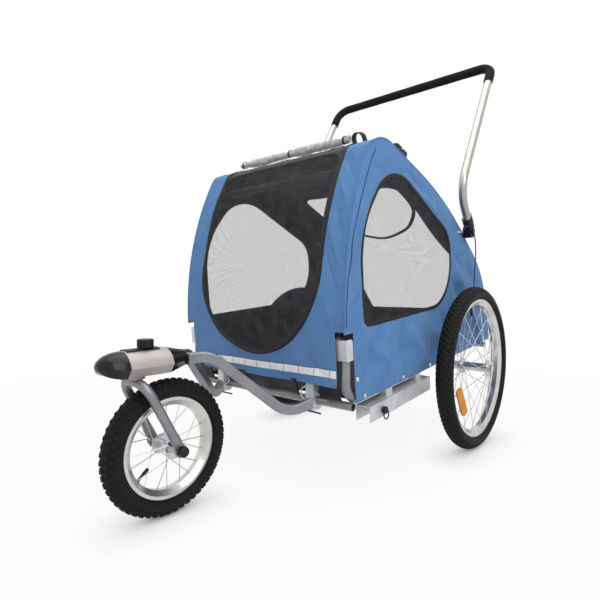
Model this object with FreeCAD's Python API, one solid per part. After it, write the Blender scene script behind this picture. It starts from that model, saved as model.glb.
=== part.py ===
import FreeCAD, Part
import math
import os
from FreeCAD import Placement, Rotation, Vector

# Dog trailer in its stroller form: cloth cabin on a tube base, two spoked rear wheels,
# a swivelling front wheel on a removable jogger kit, and a push handle.
# +X forward, +Y to the trailer's left, +Z up, origin on the floor under the middle of the outline.
# Millimetres and degrees. Cabin and base are drawn level, as along and rise from the base tubes
# over the rear axle, and then pitched; wheels, head, arms and handle are drawn from the floor.

# Stance
body_pitch = 5.0             # body slopes down towards the front wheel
nose_reach = 1013.0          # rear axle to the tip of the nose cap
seat_gap = 0.3               # between pieces that rest against each other
run_clear = 0.05             # radial clearance of pins, axles and shafts

# Base frame
base_half = 275.0            # trailer centre to a side tube's centre
base_r = 11.0
axle_drop = 32.0             # rear axle below the base tubes
tube_wall = 1.5
base_back = -312.0           # rear end of the side tubes
corner_along = 576.6         # where a side tube turns up into the corner post
corner_bend = 45.0
post_lean = 6.0              # corner posts lean back
post_rise = 115.0
cross_r = 10.0
cross_over = 10.0            # cross tubes run on past the side tubes' centres
nest_angle = 60.0            # the front cross tube sits this far round the corner bend
rear_cross_along = -298.0
floor_thick = 6.0
floor_front = 540.0
floor_back = -285.0
floor_corner = 20.0

# Cabin outline from the front foot over the roof to the tail: along, rise, rounding
cabin_front = 587.0
cabin_tail = -322.0
hem_rise = -5.0
brow_along = 449.0           # where the front meets the roof
brow_rise = 601.0
front_drop = 226.2           # the front starts to lean back this far under the brow
front_bend = 885.0
brow_bend = 40.0
crown_along = 377.5
crown_over = 25.0            # crown's corner over the brow
crown_bend = 100.0
shoulder_along = 30.4        # where the back's slope steepens
shoulder_drop = 134.3        # under the crown's corner
shoulder_bend = 1095.0
back_along = -285.0
back_rise = 237.0
back_bend = 320.0
tail_rise = 28.0
tail_bend = 60.0
crown_rise = brow_rise + crown_over
cabin_outline = [(cabin_front, hem_rise, 0.0), (cabin_front, brow_rise - front_drop, front_bend),
                 (brow_along, brow_rise, brow_bend), (crown_along, crown_rise, crown_bend),
                 (shoulder_along, crown_rise - shoulder_drop, shoulder_bend),
                 (back_along, back_rise, back_bend), (cabin_tail, tail_rise, tail_bend),
                 (cabin_tail, hem_rise, 0.0)]
wall_over = 14.0             # side walls' outside past the side tubes' centres
wall_half = base_half + wall_over
cloth = 2.0
mesh = 1.0
seam_back = 22.0             # front panel's seam behind the brow

# Openings in the cloth
door_side = 68.0             # cloth beside the front door at its top
door_wide_side = 73.0        # and where it is widest
door_drop = 11.0             # its top under the brow
door_wide_rise = 300.0
door_bottom = 99.0
door_corner = 40.0
door_binding = 20.0          # width of the zip border
door_binding_over = 6.0      # part of it on the panel
binding_thick = 2.5
window_front = 509.0
window_back = 5.0
window_peak = 353.0
window_sill = 168.0
window_peak_drop = 54.0      # peak and shoulders of a side window under the crown's corner
window_front_drop = 233.0
window_back_drop = 243.0
side_window = [(window_front, window_sill, 20.0), (window_front, crown_rise - window_front_drop, 250.0),
               (window_peak, crown_rise - window_peak_drop, 140.0),
               (window_back, crown_rise - window_back_drop, 90.0), (window_back, window_sill, 140.0)]
window_binding = 14.0
window_binding_over = 5.0
back_window_front = 155.0    # mesh in the back slope, seen from above
back_window_tail = -309.0
back_window_side = 99.0      # cloth beside it
back_window_corner = 45.0
panel_slit_in = 13.0         # slits that show the corner posts, inside the side tubes' centres
panel_slit_rise = 165.0
wall_slit_along = 545.0
wall_slit_rise = 160.0
front_hem_rise = 36.0        # lower edge of the front panel
skirt_foot_along = 574.0
skirt_foot_rise = 0.0
skirt_notch = 34.0           # half the notch for a jogger bracket

# Trim on the cabin
strip_rise = 56.0            # lower edge of the reflective strip
strip_high = 21.0
strip_in = 1.0               # strip's ends inside the slits
strip_thick = 1.2
roll_r = 12.0                # rolled rain cover on the roof
roll_side = 84.0             # roof beside the roll
roll_turn = 77.0             # place around the crown's rounding
tie_thick = 1.4
tie_wide = 20.0
tie_in = 15.0                # outer ties from the roll's ends
loop_in = 56.0               # standing webbing loop, inside the wall
loop_half = 17.0
loop_high = 24.0
buckle_long = 60.0
buckle_wide = 34.0
buckle_high = 22.0
buckle_in = 21.0             # buckle's middle inside the wall
buckle_back = 100.0          # its middle behind the crown's corner, down the slope

# Folding hoops inside the cabin
hoop_r = 9.0
hoop_bend = 60.0
front_hoop_in = 23.0         # its legs inside the side tubes
front_hoop_inset = 24.3      # leg centre behind the front panel's face
front_pivot_rise = 132.0
front_hoop_drop = 60.0       # its top bar under the brow
front_leg_bend = 600.0
rear_hoop_inset = 13.0       # rail centre under the roof
rear_pivot_rise = 36.0
rear_bar_bend = 30.0
pivot_r = 3.0
cheek = 2.2                  # sheet thickness of the fold brackets
bracket_web = 2.5
front_bracket_foot = 97.0
front_bracket_top = 146.0
rear_bracket_long = 30.0
collar_r = 13.0
collar_from = 18.0           # above the pivot
collar_to = 31.0

# Tow arm receiver under the left side tube
channel_wide = 42.0
channel_high = 38.0
channel_wall = 2.5
channel_rise = -24.0         # its top
channel_out = 4.0            # its middle outside the side tube's
channel_front = 512.0
channel_back = 195.0
standoff_places = [240.0, 400.0]
standoff_long = 30.0
tow_pin_along = 455.0
tow_pin_rise = -46.0
tow_pin_r = 5.0
tow_collar_r = 9.0
tow_collar = 8.0
ring_r = 11.0                # pull rings
ring_wire = 1.6

# Rear wheels
wheel_gap = 45.5             # cabin wall to the tyre
rear_r = 250.0
rear_width = 49.0
rear_rim_r = 211.0
rear_flange_half = 40.0
rear_flange_r = 24.0
rear_barrel_r = 13.0
rear_hub_half = 47.0
rear_axle_r = 6.0
rear_spokes = 36
receiver_r = 13.0
receiver_long = 44.0
receiver_wide = 28.0
receiver_in = 18.0           # its inner face inside the side tube's centre
axle_nut_r = 11.0
axle_nut = 7.0

# Front wheel and fork
front_axle_x = 858.0
front_r = 149.0
front_width = 53.0
front_rim_r = 109.0
front_flange_half = 26.0
front_flange_r = 22.0
front_barrel_r = 10.0
front_hub_half = 45.0
front_axle_r = 5.0
front_spokes = 20
swivel_x = 937.5
fork_r = 10.0
fork_foot_half = 52.0
fork_crown_half = 47.0
fork_crown_drop = 12.0       # top of the fork's legs under the head
fork_bend = 38.0
fork_end = 24.0              # leg ends this far from the axle
dropout_r = 14.0
dropout_thick = 5.0
stem_r = 10.0
stem_long = 35.0             # into the head
crown_r = 24.0
crown_thick = 6.0
cap_nut_r = 11.0
cap_nut = 13.0

# Shared by all wheels
tyre_skin = 4.0
bead_half = 13.0
bead_deep = 8.0
rim_wall = 3.0
rim_deep = 18.0
rim_bed = 4.0
spoke_r = 1.0
spoke_cross = 38.0           # angle a spoke leans around the hub
spoke_hole = 3.5             # spoke ends inside the flange's edge
spoke_spread = 3.0           # spoke tips either side of the rim's middle
flange_thick = 3.0
reflector_long = 96.0
reflector_high = 26.0
reflector_thick = 5.0
reflector_at = 160.0
reflector_turn = 121.0
reflector_sink = 0.6         # spokes lean, so they pass a little inside a straight cone

# Swivel head
head_room = 17.0             # front tyre to the head's underside
head_floor_half = 27.0
head_flare = 19.5            # height of the flared sides
head_half = 42.0
head_high = 53.0
shell_back = 866.0
shell_front = 962.0
rear_cap_back = 822.0
rear_cap_share = 0.62
cap_over = 26.0              # height the end caps taper to, over the underside
plate_back = 884.0
plate_front = 957.0
plate_angle = 20.0
plate_thick = 2.5
knob_x = 909.0
knob_r = 17.0
knob_high = 17.0
knob_ribs = 12
knob_shaft_r = 4.0
knob_shaft = 30.0

# Jogger arms and the brackets that grip the front cross tube
arm_high = 24.0
arm_wide = 20.0
arm_head_x = 826.0
arm_head_side = 16.0
arm_head_over = 22.0         # over the head's underside
arm_foot = (575.0, 168.0, 215.0)
arm_crest_share = 0.199      # bends, as shares of the arm's length seen from above
arm_crest_over = 27.8        # over the head's underside
arm_dip_share = 0.8075
arm_dip_z = 195.0
arm_bend = 70.0
grip_front = 575.0           # front face of a bracket
grip_back = 545.0
grip_wide = 24.0
grip_floor = 199.0
grip_top = 264.0
grip_plate = 3.0
lock_pin_r = 4.0
lock_pin_x = 560.0
lock_pin_z = 241.0
lock_head_r = 7.0
lock_head = 6.0
clip_r = 1.6
clip_out = 16.0
clip_half = 19.0
tab_long = 42.0
tab_wide = 14.0
tab_thick = 4.0
tab_droop = 20.0

# Push handle
knuckle_x = -76.0
knuckle_z = 682.0
knuckle_r = 20.0
knuckle_gap = 5.0            # cabin wall to the fixed half
knuckle_half = 12.0          # thickness of the fixed half
socket_half = 14.0           # and of the half on the handle
knuckle_bolt_r = 4.0
knuckle_head_r = 9.0
knuckle_head = 5.0
strap_thick = 4.0            # flat brackets from the rails to the knuckles
strap_from = -50.0
strap_to = -119.0
strap_over = 4.5             # into the knuckle
handle_r = 12.5
knee_x = 60.0
knee_z = 792.0
knee_out = 20.0              # knee outside the sockets
handle_x = -224.0
handle_z = 1273.0
handle_out = 17.0            # top corners outside the sockets
knee_bend = 80.0
handle_bend = 45.0
socket_r = 16.5
socket_long = 60.0
tube_set = 24.0
grip_r = 15.5
grip_leg = 86.0             # grip's end below the corner, down the leg
handle_pin_r = 3.0
handle_pin_at = 42.0
handle_pin_under = 18.0
handle_pin_over = 22.0

# Lanyard from the left knuckle's bolt
lanyard_r = 1.75
lanyard = [(-84.6, 322.6, 675.4), (-95.0, 323.4, 652.0), (-95.5, 324.2, 616.0), (-89.5, 325.0, 578.0),
           (-80.0, 325.6, 538.0), (-75.0, 326.0, 502.0), (-76.0, 326.0, 470.0)]
knot_r = 4.0


def unit(vector):
    return Vector(vector).normalize()


def rounded_wire(corners, closed=False):
    """Straight runs joined by tangent arcs; a rounding is limited by the runs beside it."""
    points = [Vector(p) for p, radius in corners]
    count = len(points)
    reach = [0.0] * count
    turns = {}
    for i in range(count):
        radius = corners[i][1]
        if radius <= 0 or (not closed and i in (0, count - 1)):
            continue
        back = unit(points[i] - points[i - 1])
        ahead = unit(points[(i + 1) % count] - points[i])
        half_turn = math.acos(max(-1.0, min(1.0, back.dot(ahead)))) / 2
        turns[i] = (back, ahead, half_turn)
        reach[i] = radius * math.tan(half_turn)
    room = [1.0] * count
    for i in range(count if closed else count - 1):
        j = (i + 1) % count
        length = points[i].distanceToPoint(points[j])
        if reach[i] + reach[j] > length:
            share = length / (reach[i] + reach[j])
            room[i] = min(room[i], share)
            room[j] = min(room[j], share)
    cuts = {}
    for i, (back, ahead, half_turn) in turns.items():
        radius = corners[i][1] * room[i]
        run = reach[i] * room[i]
        middle = points[i] + unit(ahead - back) * (radius / math.cos(half_turn) - radius)
        cuts[i] = (points[i] - back * run, middle, points[i] + ahead * run)
    edges = []
    for i in range(count if closed else count - 1):
        j = (i + 1) % count
        start = cuts[i][2] if i in cuts else points[i]
        end = cuts[j][0] if j in cuts else points[j]
        if start.distanceToPoint(end) > 1e-6:
            edges.append(Part.LineSegment(start, end).toShape())
        if j in cuts:
            edges.append(Part.Arc(*cuts[j]).toShape())
    return Part.Wire(edges)


def ring_face(centre, axis, outer, inner=0.0):
    circles = [Part.Circle(Vector(centre), Vector(axis), r) for r in (outer, inner) if r > 0]
    rings = [Part.Wire(circle.toShape()) for circle in circles]
    return Part.makeFace(rings, "Part::FaceMakerBullseye")


def tube(corners, outer, inner=0.0):
    """Round tube along a path of straight runs and bends."""
    start = Vector(corners[0][0])
    return rounded_wire(corners).makePipe(ring_face(start, unit(Vector(corners[1][0]) - start), outer, inner))


def rod(start, end, radius):
    start = Vector(start)
    reach = Vector(end) - start
    return Part.makeCylinder(radius, reach.Length, start, reach)


def cross_rod(along, rise, near, far, radius):
    return rod((along, near, rise), (along, far, rise), radius)


def block(low, high):
    low = Vector(low)
    size = Vector(high) - low
    return Part.makeBox(size.x, size.y, size.z, low)


def plate(corners, near, far):
    """Plate across the trailer from an outline of (along, rise, rounding)."""
    wire = rounded_wire([((a, near, r), radius) for a, r, radius in corners], True)
    return Part.Face(wire).extrude(Vector(0, far - near, 0))


def spun(wire):
    """Solid of revolution about Y."""
    return Part.Face(wire).revolve(Vector(0, 0, 0), Vector(0, 1, 0), 360)


def spun_profile(points):
    points = [Vector(r, y, 0) for r, y in points]
    return spun(Part.makePolygon(points + points[:1]))


def mirrored(shape):
    return shape.mirror(Vector(0, 0, 0), Vector(0, 1, 0))


def both(shape):
    """The piece and its twin on the right-hand side."""
    return [shape, mirrored(shape)]


def fused(shapes):
    result = shapes[0]
    for shape in shapes[1:]:
        result = result.fuse(shape)
    return result.removeSplitter()


def drilled(shape, cutters):
    for cutter in cutters:
        shape = shape.cut(cutter)
    return shape


def moved(shape, x, y, z):
    shape = shape.copy()
    shape.translate(Vector(x, y, z))
    return shape


def pull_ring(centre, axis):
    return Part.makeTorus(ring_r, ring_wire, Vector(centre), Vector(axis))


def inset_corners(corners, inset, closed=False):
    """Outline of (along, rise, rounding) moved to its left by inset."""
    points = [Vector(a, 0, r) for a, r, radius in corners]
    count = len(points)
    runs = [unit(points[(i + 1) % count] - points[i]) for i in range(count)]
    sides = [Vector(-d.z, 0, d.x) for d in runs]
    result = []
    for i, (a, r, radius) in enumerate(corners):
        before = sides[i - 1]
        after = sides[i]
        if not closed and i == 0:
            before = after
        if not closed and i == count - 1:
            after = before
        point = points[i] + (before + after) * (inset / (1 + before.dot(after)))
        result.append((point.x, point.z, radius - inset if radius > 0 else 0.0))
    return result


def body_to_floor(along, rise):
    """Distance ahead of the rear axle and height of a point on the body."""
    angle = math.radians(body_pitch)
    x = along * math.cos(angle) + rise * math.sin(angle)
    return x, base_height - along * math.sin(angle) + rise * math.cos(angle)


def floor_to_body(x, z):
    angle = math.radians(body_pitch)
    drop = z - base_height
    return x * math.cos(angle) - drop * math.sin(angle), x * math.sin(angle) + drop * math.cos(angle)


base_height = rear_r + axle_drop
tail_reach = -body_to_floor(cabin_tail, hem_rise)[0]
axle_shift = (tail_reach - nose_reach) / 2
body_frame = Placement(Vector(axle_shift, 0, base_height), Rotation(Vector(0, 1, 0), body_pitch))
floor_frame = Placement(Vector(axle_shift, 0, 0), Rotation())
axle_along, axle_rise = floor_to_body(0, rear_r)
knuckle_along, knuckle_rise = floor_to_body(knuckle_x, knuckle_z)
track_half = wall_half + wheel_gap + rear_width / 2
panel_slit_half = base_half - panel_slit_in
front_hoop_half = base_half - front_hoop_in
receiver_face = base_half - receiver_in
channel_side = base_half + channel_out
roll_half = wall_half - roll_side
knuckle_in = wall_half + knuckle_gap
knuckle_split = knuckle_in + knuckle_half
knuckle_out = knuckle_split + socket_half
socket_side = (knuckle_split + knuckle_out) / 2
strap_out = knuckle_in + strap_over
brow = Vector(brow_along, 0, brow_rise)
crown = Vector(crown_along, 0, crown_rise)
roof_run = unit(crown - brow)
roof_up = Vector(roof_run.z, 0, -roof_run.x)
slope_run = unit(Vector(shoulder_along, 0, crown_rise - shoulder_drop) - crown)
head_floor = 2 * front_r + head_room
head_edge = head_floor + head_flare
head_top = head_floor + head_high
cap_z = head_floor + cap_over
stem_top = head_floor + stem_long
fork_crown_z = head_floor - fork_crown_drop
arm_head = (arm_head_x, arm_head_side, head_floor + arm_head_over)
arm_crest_z = head_floor + arm_crest_over

# Front cross tube, nested against the outside of the corner bends
bend_along = corner_along - corner_bend * math.tan(math.radians(90 + post_lean) / 2)
nest = corner_bend + base_r + cross_r + seat_gap
front_cross_along = bend_along + nest * math.cos(math.radians(nest_angle))
front_cross_rise = corner_bend - nest * math.sin(math.radians(nest_angle))
front_cross_x, front_cross_z = body_to_floor(front_cross_along, front_cross_rise)

front_pivot_along = cabin_front - front_hoop_inset
rear_rail = inset_corners(cabin_outline, rear_hoop_inset)
rail_share = (rear_pivot_rise - rear_rail[5][1]) / (rear_rail[6][1] - rear_rail[5][1])
rear_pivot_along = rear_rail[5][0] + rail_share * (rear_rail[6][0] - rear_rail[5][0])
front_hoop_top = brow_rise - front_hoop_drop


# Base frame

def post_along(rise):
    return corner_along - rise * math.tan(math.radians(post_lean))


def base_side_tubes():
    path = [((base_back, base_half, 0), 0), ((corner_along, base_half, 0), corner_bend),
            ((post_along(post_rise), base_half, post_rise), 0)]
    return both(tube(path, base_r, base_r - tube_wall))


def base_cross_tubes():
    places = [(front_cross_along, front_cross_rise), (rear_cross_along, -base_r - cross_r - seat_gap)]
    half = base_half + cross_over
    return [tube([((a, -half, r), 0), ((a, half, r), 0)], cross_r, cross_r - tube_wall)
            for a, r in places]


def floor_panel():
    side = base_half - base_r - seat_gap
    corners = [(floor_back, -side), (floor_front, -side), (floor_front, side), (floor_back, side)]
    wire = rounded_wire([((a, s, -floor_thick / 2), floor_corner) for a, s in corners], True)
    return Part.Face(wire).extrude(Vector(0, 0, floor_thick))


def front_fold_bracket():
    """Channel that joins a corner post to the foot of the front hoop, open to the rear."""
    web = post_along(front_bracket_foot) + base_r + seat_gap
    back = front_pivot_along - hoop_r - 1.0
    inner = front_hoop_half - hoop_r - 0.5
    middle = base_half - base_r - seat_gap
    outer = base_half + base_r + seat_gap
    rounding = (web + bracket_web - back) * 0.4
    shape = plate([(back, front_bracket_foot, 3.0), (web + bracket_web, front_bracket_foot, 3.0),
                   (web + bracket_web, front_bracket_top, 3.0), (back, front_bracket_top, rounding)],
                  inner - cheek, outer + cheek)
    hoop_room = block((back - 1, inner, front_bracket_foot - 1),
                      (web, front_hoop_half + hoop_r + 0.5, front_bracket_top + 1))
    post_room = block((back - 1, middle, front_bracket_foot - 1), (web, outer, front_bracket_top + 1))
    shape = drilled(shape, [hoop_room, post_room])
    rivet = cross_rod(front_pivot_along, front_pivot_rise, inner - cheek, middle, pivot_r)
    return fused([shape, rivet])


def rear_fold_bracket():
    """Clevis seated on a side tube for the foot of the rear hoop."""
    inner = base_half - hoop_r - 0.5
    outer = base_half + hoop_r + 0.5
    low = base_r / 2
    seat = rear_pivot_rise - hoop_r * 1.5
    half = rear_bracket_long / 2
    top = rear_pivot_rise + hoop_r
    shape = plate([(rear_pivot_along - half, low, 2.0), (rear_pivot_along + half, low, 2.0),
                   (rear_pivot_along + half, top, 12.0), (rear_pivot_along - half, top, 12.0)],
                  inner - cheek / 2, outer + cheek / 2)
    room = block((rear_pivot_along - 60, inner, seat), (rear_pivot_along + 60, outer, top + 1))
    saddle = rod((base_back - 60, base_half, 0), (corner_along, base_half, 0), base_r + seat_gap)
    shape = drilled(shape, [room, saddle]).common(cabin_block(cloth + seat_gap))
    rivet = cross_rod(rear_pivot_along, rear_pivot_rise, inner - cheek / 2, outer + cheek / 2, pivot_r)
    return fused([shape, rivet])


def fold_brackets():
    return both(front_fold_bracket()) + both(rear_fold_bracket())


def axle_receivers():
    """Block under a side tube with the socket that takes the wheel's axle."""
    half = receiver_long / 2
    foot = axle_rise - receiver_r
    top = -base_r * 0.3
    body = plate([(axle_along - half, top, 3.0), (axle_along - half * 0.7, foot, 8.0),
                  (axle_along + half * 0.7, foot, 8.0), (axle_along + half, top, 3.0)],
                 receiver_face, receiver_face + receiver_wide)
    boss = cross_rod(axle_along, axle_rise, receiver_face, track_half - rear_hub_half - seat_gap, receiver_r)
    saddle = rod((axle_along - 60, base_half, 0), (axle_along + 60, base_half, 0), base_r + seat_gap)
    bore = cross_rod(axle_along, axle_rise, receiver_face - 1, track_half, rear_axle_r + run_clear)
    return both(drilled(fused([body, boss]), [saddle, bore]))


def rear_axles():
    end = track_half + rear_hub_half + seat_gap
    shaft = cross_rod(axle_along, axle_rise, receiver_face + 4, end + 1, rear_axle_r)
    nut = cross_rod(axle_along, axle_rise, end, end + axle_nut, axle_nut_r)
    return both(fused([shaft, nut]))


def tow_channel():
    """Inverted channel that receives a tow arm, hung from the left side tube."""
    near = channel_side - channel_wide / 2
    far = channel_side + channel_wide / 2
    foot = channel_rise - channel_high
    bar = block((channel_back, near, foot), (channel_front, far, channel_rise))
    inside = block((channel_back - 1, near + channel_wall, foot - 1),
                   (channel_front + 1, far - channel_wall, channel_rise - channel_wall))
    holes = [cross_rod(tow_pin_along, tow_pin_rise, near - 1, far + 1, tow_pin_r + run_clear)]
    shapes = [bar.cut(inside)]
    for place in standoff_places:
        shapes.append(block((place - standoff_long / 2, base_half - base_r, channel_rise - 1),
                            (place + standoff_long / 2, base_half + base_r, 0)))
    saddle = rod((channel_back, base_half, 0), (channel_front, base_half, 0), base_r + seat_gap)
    return drilled(fused(shapes), holes + [saddle])


def tow_pin():
    far = channel_side + channel_wide / 2 + 1.0
    near = channel_side - channel_wide / 2 - 4.0
    pin = cross_rod(tow_pin_along, tow_pin_rise, near, far + 1, tow_pin_r)
    collar = cross_rod(tow_pin_along, tow_pin_rise, far, far + tow_collar, tow_collar_r)
    ring = pull_ring((tow_pin_along, far + tow_collar - 1, tow_pin_rise - ring_r), (0, 1, 0))
    return fused([pin, collar, ring])


# Cabin

def cabin_block(inset):
    """Solid filling the cabin's outline, set in from its outside."""
    return plate(inset_corners(cabin_outline, inset), -wall_half, wall_half)


def skin(out, inn, half):
    """Shell along the outline between two depths."""
    outer = [((a, -half, r), radius) for a, r, radius in inset_corners(cabin_outline, out)]
    inner = [((a, -half, r), radius) for a, r, radius in inset_corners(cabin_outline, inn)]
    edges = rounded_wire(outer).Edges + rounded_wire(inner).Edges
    for k in (0, -1):
        edges.append(Part.LineSegment(Vector(outer[k][0]), Vector(inner[k][0])).toShape())
    loop = Part.Wire(Part.__sortEdges__(edges))
    return Part.Face(loop).extrude(Vector(0, 2 * half, 0))


def front_side(gap):
    """Everything ahead of the seam behind the brow."""
    seam = brow + roof_run * (seam_back - gap)
    low = seam - roof_up * 60
    high = seam + roof_up * 40
    corners = [(low.x, low.z, 0), (low.x, hem_rise - 50, 0), (cabin_front + 60, hem_rise - 50, 0),
               (cabin_front + 60, high.z, 0), (high.x, high.z, 0)]
    return plate(corners, -wall_half - 10, wall_half + 10)


def door_block(grow):
    """Front door opening, as a prism through the front panel."""
    top = brow_rise - door_drop + grow
    half = wall_half - door_side + grow
    wide = wall_half - door_wide_side + grow
    head = rounded_wire([((0, -wide, door_wide_rise), 0), ((0, -half, top), door_corner + grow),
                         ((0, half, top), door_corner + grow), ((0, wide, door_wide_rise), 0)])
    sill = Part.Arc(Vector(0, wide, door_wide_rise), Vector(0, 0, door_bottom - grow),
                    Vector(0, -wide, door_wide_rise)).toShape()
    face = Part.Face(Part.Wire(Part.__sortEdges__(head.Edges + [sill])))
    return moved(face.extrude(Vector(cabin_front, 0, 0)), brow_along * 0.8, 0, 0)


def window_block(grow, near, far):
    return plate(inset_corners(side_window, -grow, True), near, far)


def back_window_block(grow):
    half = wall_half - back_window_side + grow
    front = back_window_front + grow
    tail = back_window_tail - grow
    corners = [(tail, -half), (front, -half), (front, half), (tail, half)]
    wire = rounded_wire([((a, s, 50), back_window_corner + grow) for a, s in corners], True)
    return Part.Face(wire).extrude(Vector(0, 0, brow_rise))


def strap_slot():
    room = strap_thick / 2 + seat_gap
    slot = block((strap_to, base_half + hoop_r, knuckle_rise - room),
                 (strap_from + seat_gap, strap_out + 5, knuckle_rise + room))
    return slot.fuse(mirrored(slot))


def side_wall():
    near = wall_half - cloth
    shape = plate(inset_corners(cabin_outline, cloth + seat_gap), near, wall_half)
    slit = block((wall_slit_along, near - 1, hem_rise - 1), (cabin_front, wall_half + 1, wall_slit_rise))
    return drilled(shape, [window_block(0, near - 1, wall_half + 1), slit, strap_slot()])


def window_mesh():
    near = wall_half - (cloth + mesh) / 2
    return window_block(-seat_gap, near, near + mesh)


def window_ring():
    outer = window_block(window_binding_over, wall_half, wall_half + binding_thick)
    hole = window_block(window_binding_over - window_binding, wall_half - 1, wall_half + binding_thick + 1)
    return outer.cut(hole)


def front_panel():
    shape = skin(0, cloth, wall_half).common(front_side(0))
    hem = block((0, -wall_half - 1, hem_rise - 1), (cabin_front + 1, wall_half + 1, front_hem_rise))
    slit = block((cabin_front - 60, panel_slit_half, hem_rise - 1),
                 (cabin_front + 1, wall_half + 1, panel_slit_rise))
    return drilled(shape, [door_block(0), hem, slit, mirrored(slit)])


def front_door_mesh():
    depth = (cloth - mesh) / 2
    return skin(depth, depth + mesh, wall_half).common(door_block(-seat_gap)).common(front_side(0))


def front_door_ring():
    ring = door_block(door_binding_over).cut(door_block(door_binding_over - door_binding))
    return skin(-binding_thick, 0, wall_half).common(ring).common(front_side(0))


def roof_panel():
    shape = skin(0, cloth, wall_half).cut(front_side(-seat_gap))
    return drilled(shape, [back_window_block(0), strap_slot()])


def back_window_mesh():
    depth = (cloth - mesh) / 2
    return skin(depth, depth + mesh, wall_half).common(back_window_block(-seat_gap))


def front_skirt():
    """Black cloth from the front panel's hem down to the front cross tube, notched for the brackets."""
    top = front_hem_rise - seat_gap
    shape = plate([(cabin_front - cloth, top, 0), (skirt_foot_along - cloth, skirt_foot_rise, 0),
                   (skirt_foot_along, skirt_foot_rise, 0), (cabin_front, top, 0)],
                  -panel_slit_half, panel_slit_half)
    notch = block((cabin_front - 60, arm_foot[1] - skirt_notch, hem_rise - 20),
                  (cabin_front + 10, arm_foot[1] + skirt_notch, top - 1.5))
    return drilled(shape, [notch, mirrored(notch)])


def reflective_strip():
    half = panel_slit_half - strip_in
    return block((cabin_front, -half, strip_rise), (cabin_front + strip_thick, half, strip_rise + strip_high))


def crown_place(turn, height):
    """Point over the crown's rounding, and the directions up and back there."""
    centre = inset_corners(cabin_outline, crown_bend)[3]
    angle = math.radians(turn)
    up = Vector(math.cos(angle), 0, math.sin(angle))
    point = Vector(centre[0], 0, centre[1]) + up * (crown_bend + height)
    return point, up, Vector(-up.z, 0, up.x)


def rain_cover_roll():
    centre = crown_place(roll_turn, roll_r + tie_thick + 2 * seat_gap)[0]
    return cross_rod(centre.x, centre.z, -roll_half, roll_half, roll_r)


def rain_cover_ties():
    """Webbing bands around the roll and a loop that stands up beside it."""
    centre = crown_place(roll_turn, roll_r + tie_thick + 2 * seat_gap)[0]
    bands = []
    for place in (tie_in - roll_half, 0.0, roll_half - tie_in):
        start = Vector(centre.x, place - tie_wide / 2, centre.z)
        face = ring_face(start, (0, 1, 0), roll_r + 0.1 + tie_thick, roll_r + 0.1)
        bands.append(face.extrude(Vector(0, tie_wide, 0)))
    foot, up, back = crown_place(roll_turn, seat_gap)
    middle = wall_half - loop_in
    arch = []
    for grow in (tie_thick, 0.0):
        start = foot + Vector(0, middle - loop_half - grow, 0)
        peak = foot + Vector(0, middle, 0) + up * (loop_high + grow)
        end = foot + Vector(0, middle + loop_half + grow, 0)
        arch.append((start, peak, end))
    edges = [Part.Arc(*arch[0]).toShape(), Part.Arc(*arch[1]).toShape()]
    edges += [Part.LineSegment(arch[0][k], arch[1][k]).toShape() for k in (0, 2)]
    loop = Part.Face(Part.Wire(Part.__sortEdges__(edges))).extrude(back * tie_wide)
    loop.translate(back * (-tie_wide / 2))
    return bands + [loop]


def roof_buckle():
    """Side-release buckle at the roof's left edge, behind the crown."""
    half = buckle_long / 2
    side = buckle_wide / 2
    corners = [(-half, -side), (half, -side), (half, side), (-half, side)]
    wire = rounded_wire([((x, y, 0), 7.0) for x, y in corners], True)
    shape = Part.Face(wire).extrude(Vector(0, 0, buckle_high))
    shape = shape.cut(block((-4, -buckle_wide, buckle_high - 4), (4, buckle_wide, buckle_high + 1)))
    shape.rotate(Vector(0, 0, 0), Vector(0, 1, 0), math.degrees(math.atan2(slope_run.z, -slope_run.x)))
    place = crown + slope_run * buckle_back + Vector(slope_run.z, 0, -slope_run.x) * seat_gap
    return moved(shape, place.x, wall_half - buckle_in, place.z)


# Folding hoops

def pivot_bore(along, rise, side):
    return cross_rod(along, rise, side - 3 * hoop_r, side + 3 * hoop_r, pivot_r + run_clear)


def front_hoop_tube():
    knee_corner = inset_corners(cabin_outline, front_hoop_inset)[1]
    lean = unit(Vector(brow_along - cabin_outline[1][0], 0, brow_rise - cabin_outline[1][1]))
    rise = front_hoop_top - knee_corner[1]
    top_along = knee_corner[0] + lean.x / lean.z * rise
    leg = [((front_pivot_along, front_pivot_rise - hoop_r), 0.0),
           ((knee_corner[0], knee_corner[1]), front_leg_bend), ((top_along, front_hoop_top), hoop_bend)]
    left = [((a, front_hoop_half, r), radius) for (a, r), radius in leg]
    right = [((a, -front_hoop_half, r), radius) for (a, r), radius in reversed(leg)]
    shape = tube(left + right, hoop_r, hoop_r - tube_wall)
    return drilled(shape, both(pivot_bore(front_pivot_along, front_pivot_rise, front_hoop_half)))


def hoop_collars():
    start = (front_pivot_along, front_hoop_half, front_pivot_rise + collar_from)
    face = ring_face(start, (0, 0, 1), collar_r, hoop_r + run_clear)
    return both(face.extrude(Vector(0, 0, collar_to - collar_from)))


def rear_hoop_tube():
    """Two rails under the roof's edges, joined by a bar under the crown."""
    foot = unit(Vector(rear_rail[6][0] - rear_rail[5][0], 0, rear_rail[6][1] - rear_rail[5][1])) * hoop_r
    rail = [((rear_pivot_along + foot.x, rear_pivot_rise + foot.z), 0.0)]
    rail += [((rear_rail[k][0], rear_rail[k][1]), rear_rail[k][2]) for k in (5, 4)]
    bar = crown_place(90.0, -rear_hoop_inset)[0]
    rail += [((bar.x, bar.z), rear_bar_bend)]
    left = [((a, base_half, r), radius) for (a, r), radius in rail]
    right = [((a, -base_half, r), radius) for (a, r), radius in reversed(rail)]
    shape = tube(left + right, hoop_r, hoop_r - tube_wall)
    return drilled(shape, both(pivot_bore(rear_pivot_along, rear_pivot_rise, base_half)))


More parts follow.
